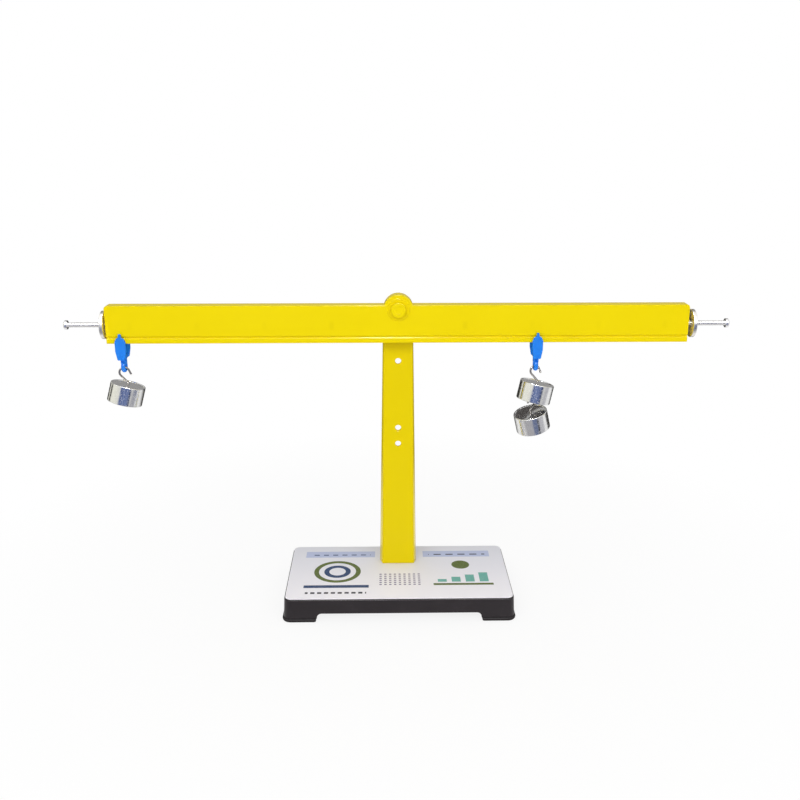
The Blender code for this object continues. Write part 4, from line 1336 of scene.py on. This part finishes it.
def runner_pieces(blue):
    """The two runners."""
    shape = runner()
    for word, x in (("left", hanger_left_x), ("right", hanger_right_x)):
        place = Matrix.Translation((x, beam_middle_y, beam_bottom_z))
        piece("runner_" + word, moved(shape, place), blue, "runner_" + word, "hanger_" + word,
              weighted=True)


def weight_pieces(nickel, wire):
    """The three weights, each a drum, a hook and a crossbar."""
    bar_half = recess_radius + bar_socket - GAP
    parts = {"body": ("drum", weight_body(), nickel), "hook": ("wire_hook", hook(), wire),
             "bar": ("crossbar", crossbar(seat_radius, bar_half), nickel)}
    for word, place in weight_places().items():
        for part, (name, shape, finish) in parts.items():
            piece(word + "_" + name, moved(shape, place), finish, "weight_" + word,
                  "weight_" + word + "_" + part, weighted=part == "body")


# Stage, light and camera

def floor():
    """A pale floor that ends in front of the view. It shines for the camera, so that it reads white, and
    keeps the shadow. In reflections its near side has grey and blue bands, by the direction from the weights
    at the right, and its far side is dark."""
    finish = Finish("pale_floor")
    finish.plain(Base_Color=(0.93, 0.93, 0.93, 1.0), Roughness=0.9, Specular_IOR_Level=0.1)
    rays = finish.node("ShaderNodeLightPath")
    x, y, _ = finish.split(finish.place)
    turn = finish.math("ARCTAN2", finish.math("SUBTRACT", x, hanger_right_x), finish.both(y, -1.0))
    glossy = rays.outputs["Is Glossy Ray"]
    near = finish.both(glossy, finish.fade(y, -0.12, -0.04))
    far = finish.both(glossy, finish.spread(y, 0.16, 0.34))
    side = finish.blend(finish.spread(turn, -1.2, 1.2), srgb(150, 148, 154), srgb(196, 196, 202))
    side = finish.blend(finish.between(turn, 0.10, 0.66, 0.08), side, srgb(96, 110, 148))
    side = finish.blend(finish.between(turn, 0.66, 0.84, 0.04), side, srgb(44, 48, 62))
    tone = finish.blend(near, (1.0, 1.0, 1.0), side)
    glow = finish.node("ShaderNodeEmission")
    glow.inputs["Strength"].default_value = 1.0
    finish.feed(glow.inputs["Color"], finish.blend(far, tone, srgb(48, 46, 44)))
    apart = finish.node("ShaderNodeVectorMath", operation="LENGTH")
    finish.feed(apart.inputs[0], finish.place)
    share = finish.spread(apart.outputs["Value"], 0.16, 0.46, 0.86, 1.0)
    mixed = finish.node("ShaderNodeMixShader")
    finish.feed(mixed.inputs[0], finish.both(finish.seen(rays), share))
    finish.feed(mixed.inputs[1], finish.shader.outputs[0])
    finish.feed(mixed.inputs[2], glow.outputs[0])
    finish.feed(finish.tree.nodes["Material Output"].inputs["Surface"], mixed.outputs[0])
    mesh = bpy.data.meshes.new("floor")
    mesh.from_pydata([(-floor_half, floor_near_y, 0.0), (floor_half, floor_near_y, 0.0),
                      (-floor_half, floor_far_y, 0.0), (floor_half, floor_far_y, 0.0)], [], [(0, 1, 3, 2)])
    mesh.materials.append(finish.material)
    plane = bpy.data.objects.new("floor", mesh)
    bpy.context.scene.collection.objects.link(plane)


class Studio(Finish):
    """The world, worked out from the direction that is looked in."""

    def __init__(self, name):
        self.world = bpy.data.worlds.new(name)
        self.world.use_nodes = True
        self.tree = self.world.node_tree
        self.tree.nodes.clear()
        self.place = self.node("ShaderNodeTexCoord").outputs["Generated"]
        self.x, self.y, self.z = self.split(self.place)


def room_tone(room):
    """The colour of the room in reflections. Above the floor it is pale, with a mottled blue side towards the
    user and a dark gap at the left. Behind the balance it has a grey wall with dark sides, is dark below, and
    has a dim band overhead."""
    turn = room.math("ARCTAN2", room.x, room.both(room.y, -1.0))
    behind = room.math("ABSOLUTE", room.math("ARCTAN2", room.x, room.y))
    cloud = room.noise(7.0, 4.0, 0.6)
    low = room.fade(room.z, 0.35, 0.60)
    tone = room.blend(room.spread(turn, -1.4, 1.4), srgb(252, 251, 238), srgb(206, 206, 210))
    tone = room.blend(low, (1.0, 1.0, 1.0), tone)
    blue = room.blend(room.spread(cloud, 0.38, 0.62), srgb(56, 76, 132), srgb(136, 152, 196))
    blue = room.blend(room.spread(turn, 0.30, 0.55), blue, srgb(50, 62, 100))
    user = room.both(room.between(turn, -0.55, 0.62, 0.08), room.fade(room.z, 0.15, 0.45))
    tone = room.blend(user, tone, blue)
    tone = room.blend(room.both(room.between(turn, -1.95, -1.66, 0.06), low), tone, srgb(54, 52, 48))
    tone = room.blend(room.both(room.fade(behind, 0.40, 0.55), low), tone, srgb(158, 157, 156))
    sides = room.both(room.between(behind, 0.50, 0.95, 0.08), room.fade(room.z, 0.05, 0.30))
    tone = room.blend(sides, tone, srgb(46, 45, 46))
    below = room.both(room.fade(behind, 0.9, 1.2), room.fade(room.z, -0.12, -0.02))
    tone = room.blend(below, tone, srgb(44, 42, 38))
    overhead = room.both(room.fade(behind, 0.60, 0.90), room.between(room.z, 0.42, 0.90, 0.07))
    dusk = room.blend(room.spread(cloud, 0.35, 0.65), srgb(36, 32, 30), srgb(104, 100, 98))
    return room.blend(overhead, tone, dusk)


def surroundings():
    """White all round for the camera and for soft light, and the room's own tones in reflections."""
    room = Studio("studio")
    bpy.context.scene.world = room.world
    rays = room.node("ShaderNodeLightPath")
    tone = room.blend(rays.outputs["Is Glossy Ray"], (1.0, 1.0, 1.0), room_tone(room))
    back = room.node("ShaderNodeBackground")
    room.feed(back.inputs["Color"], tone)
    room.feed(back.inputs["Strength"], room.spread(room.seen(rays), 0.0, 1.0, soft_light, 1.0))
    room.feed(room.node("ShaderNodeOutputWorld").inputs["Surface"], back.outputs[0])


def lamp(name, place, target, size, power, diffuse=True):
    """A rectangular lamp that faces a point. Without diffuse it only makes highlights."""
    light = bpy.data.lights.new(name, "AREA")
    light.shape = "RECTANGLE"
    light.size, light.size_y = size
    light.energy = power
    thing = bpy.data.objects.new(name, light)
    bpy.context.scene.collection.objects.link(thing)
    thing.location = place
    thing.rotation_euler = (Vector(target) - Vector(place)).to_track_quat("-Z", "Y").to_euler()
    thing.visible_diffuse = diffuse


def camera():
    """The photograph's view: a place, a heading, a downward pitch and a slight roll."""
    heading, pitch, roll = [math.radians(angle) for angle in (camera_heading, camera_pitch, camera_roll)]
    view = bpy.data.cameras.new("photo_view")
    view.sensor_width = film_width
    view.lens = film_width * focal_pixels / picture_pixels
    view.clip_start = 0.01
    thing = bpy.data.objects.new("photo_view", view)
    bpy.context.scene.collection.objects.link(thing)
    turn = Matrix.Rotation(heading, 3, "Z") @ Matrix.Rotation(-pitch, 3, "X") @ Matrix.Rotation(roll, 3, "Y")
    right, ahead, up = turn.col
    thing.matrix_world = Matrix.Translation(camera_place) @ Matrix((right, up, -ahead)).transposed().to_4x4()
    bpy.context.scene.camera = thing


def build():
    """Makes every piece, then the stage, the lamps and the camera."""
    yellow = yellow_plastic("yellow_beam_plastic", srgb(244, 221, 0), srgb(239, 214, 0))
    # The post's plastic is a darker copy of the beam's: painted shade, for the post standing back behind the
    # beam and in its shadow.
    post_yellow_shaded = yellow_plastic("yellow_post_plastic_shaded", srgb(237, 213, 0), srgb(231, 206, 0))
    nickel, bright, disc, wire, steel = metals()
    stand_pieces(yellow, post_yellow_shaded, steel)
    beam_pieces(yellow, bright, disc, steel)
    runner_pieces(blue_plastic())
    weight_pieces(nickel, wire)
    floor()
    surroundings()
    lamp("key", (-0.45, -1.00, 1.00), (0.0, 0.0, 0.20), (0.70, 0.50), 4.8)
    lamp("fill", (0.55, -0.95, 0.75), (0.0, 0.0, 0.20), (0.70, 0.60), 2.8)
    lamp("glint", (-0.006, -0.85, 0.95), (0.0, 0.0, 0.24), (0.05, 0.04), 18.0, diffuse=False)
    lamp("crown", (-0.03, -0.12, 1.10), (0.0, 0.0, 0.26), (0.06, 0.12), 6.0, diffuse=False)
    camera()
    bpy.context.scene.view_settings.view_transform = "Standard"


build()
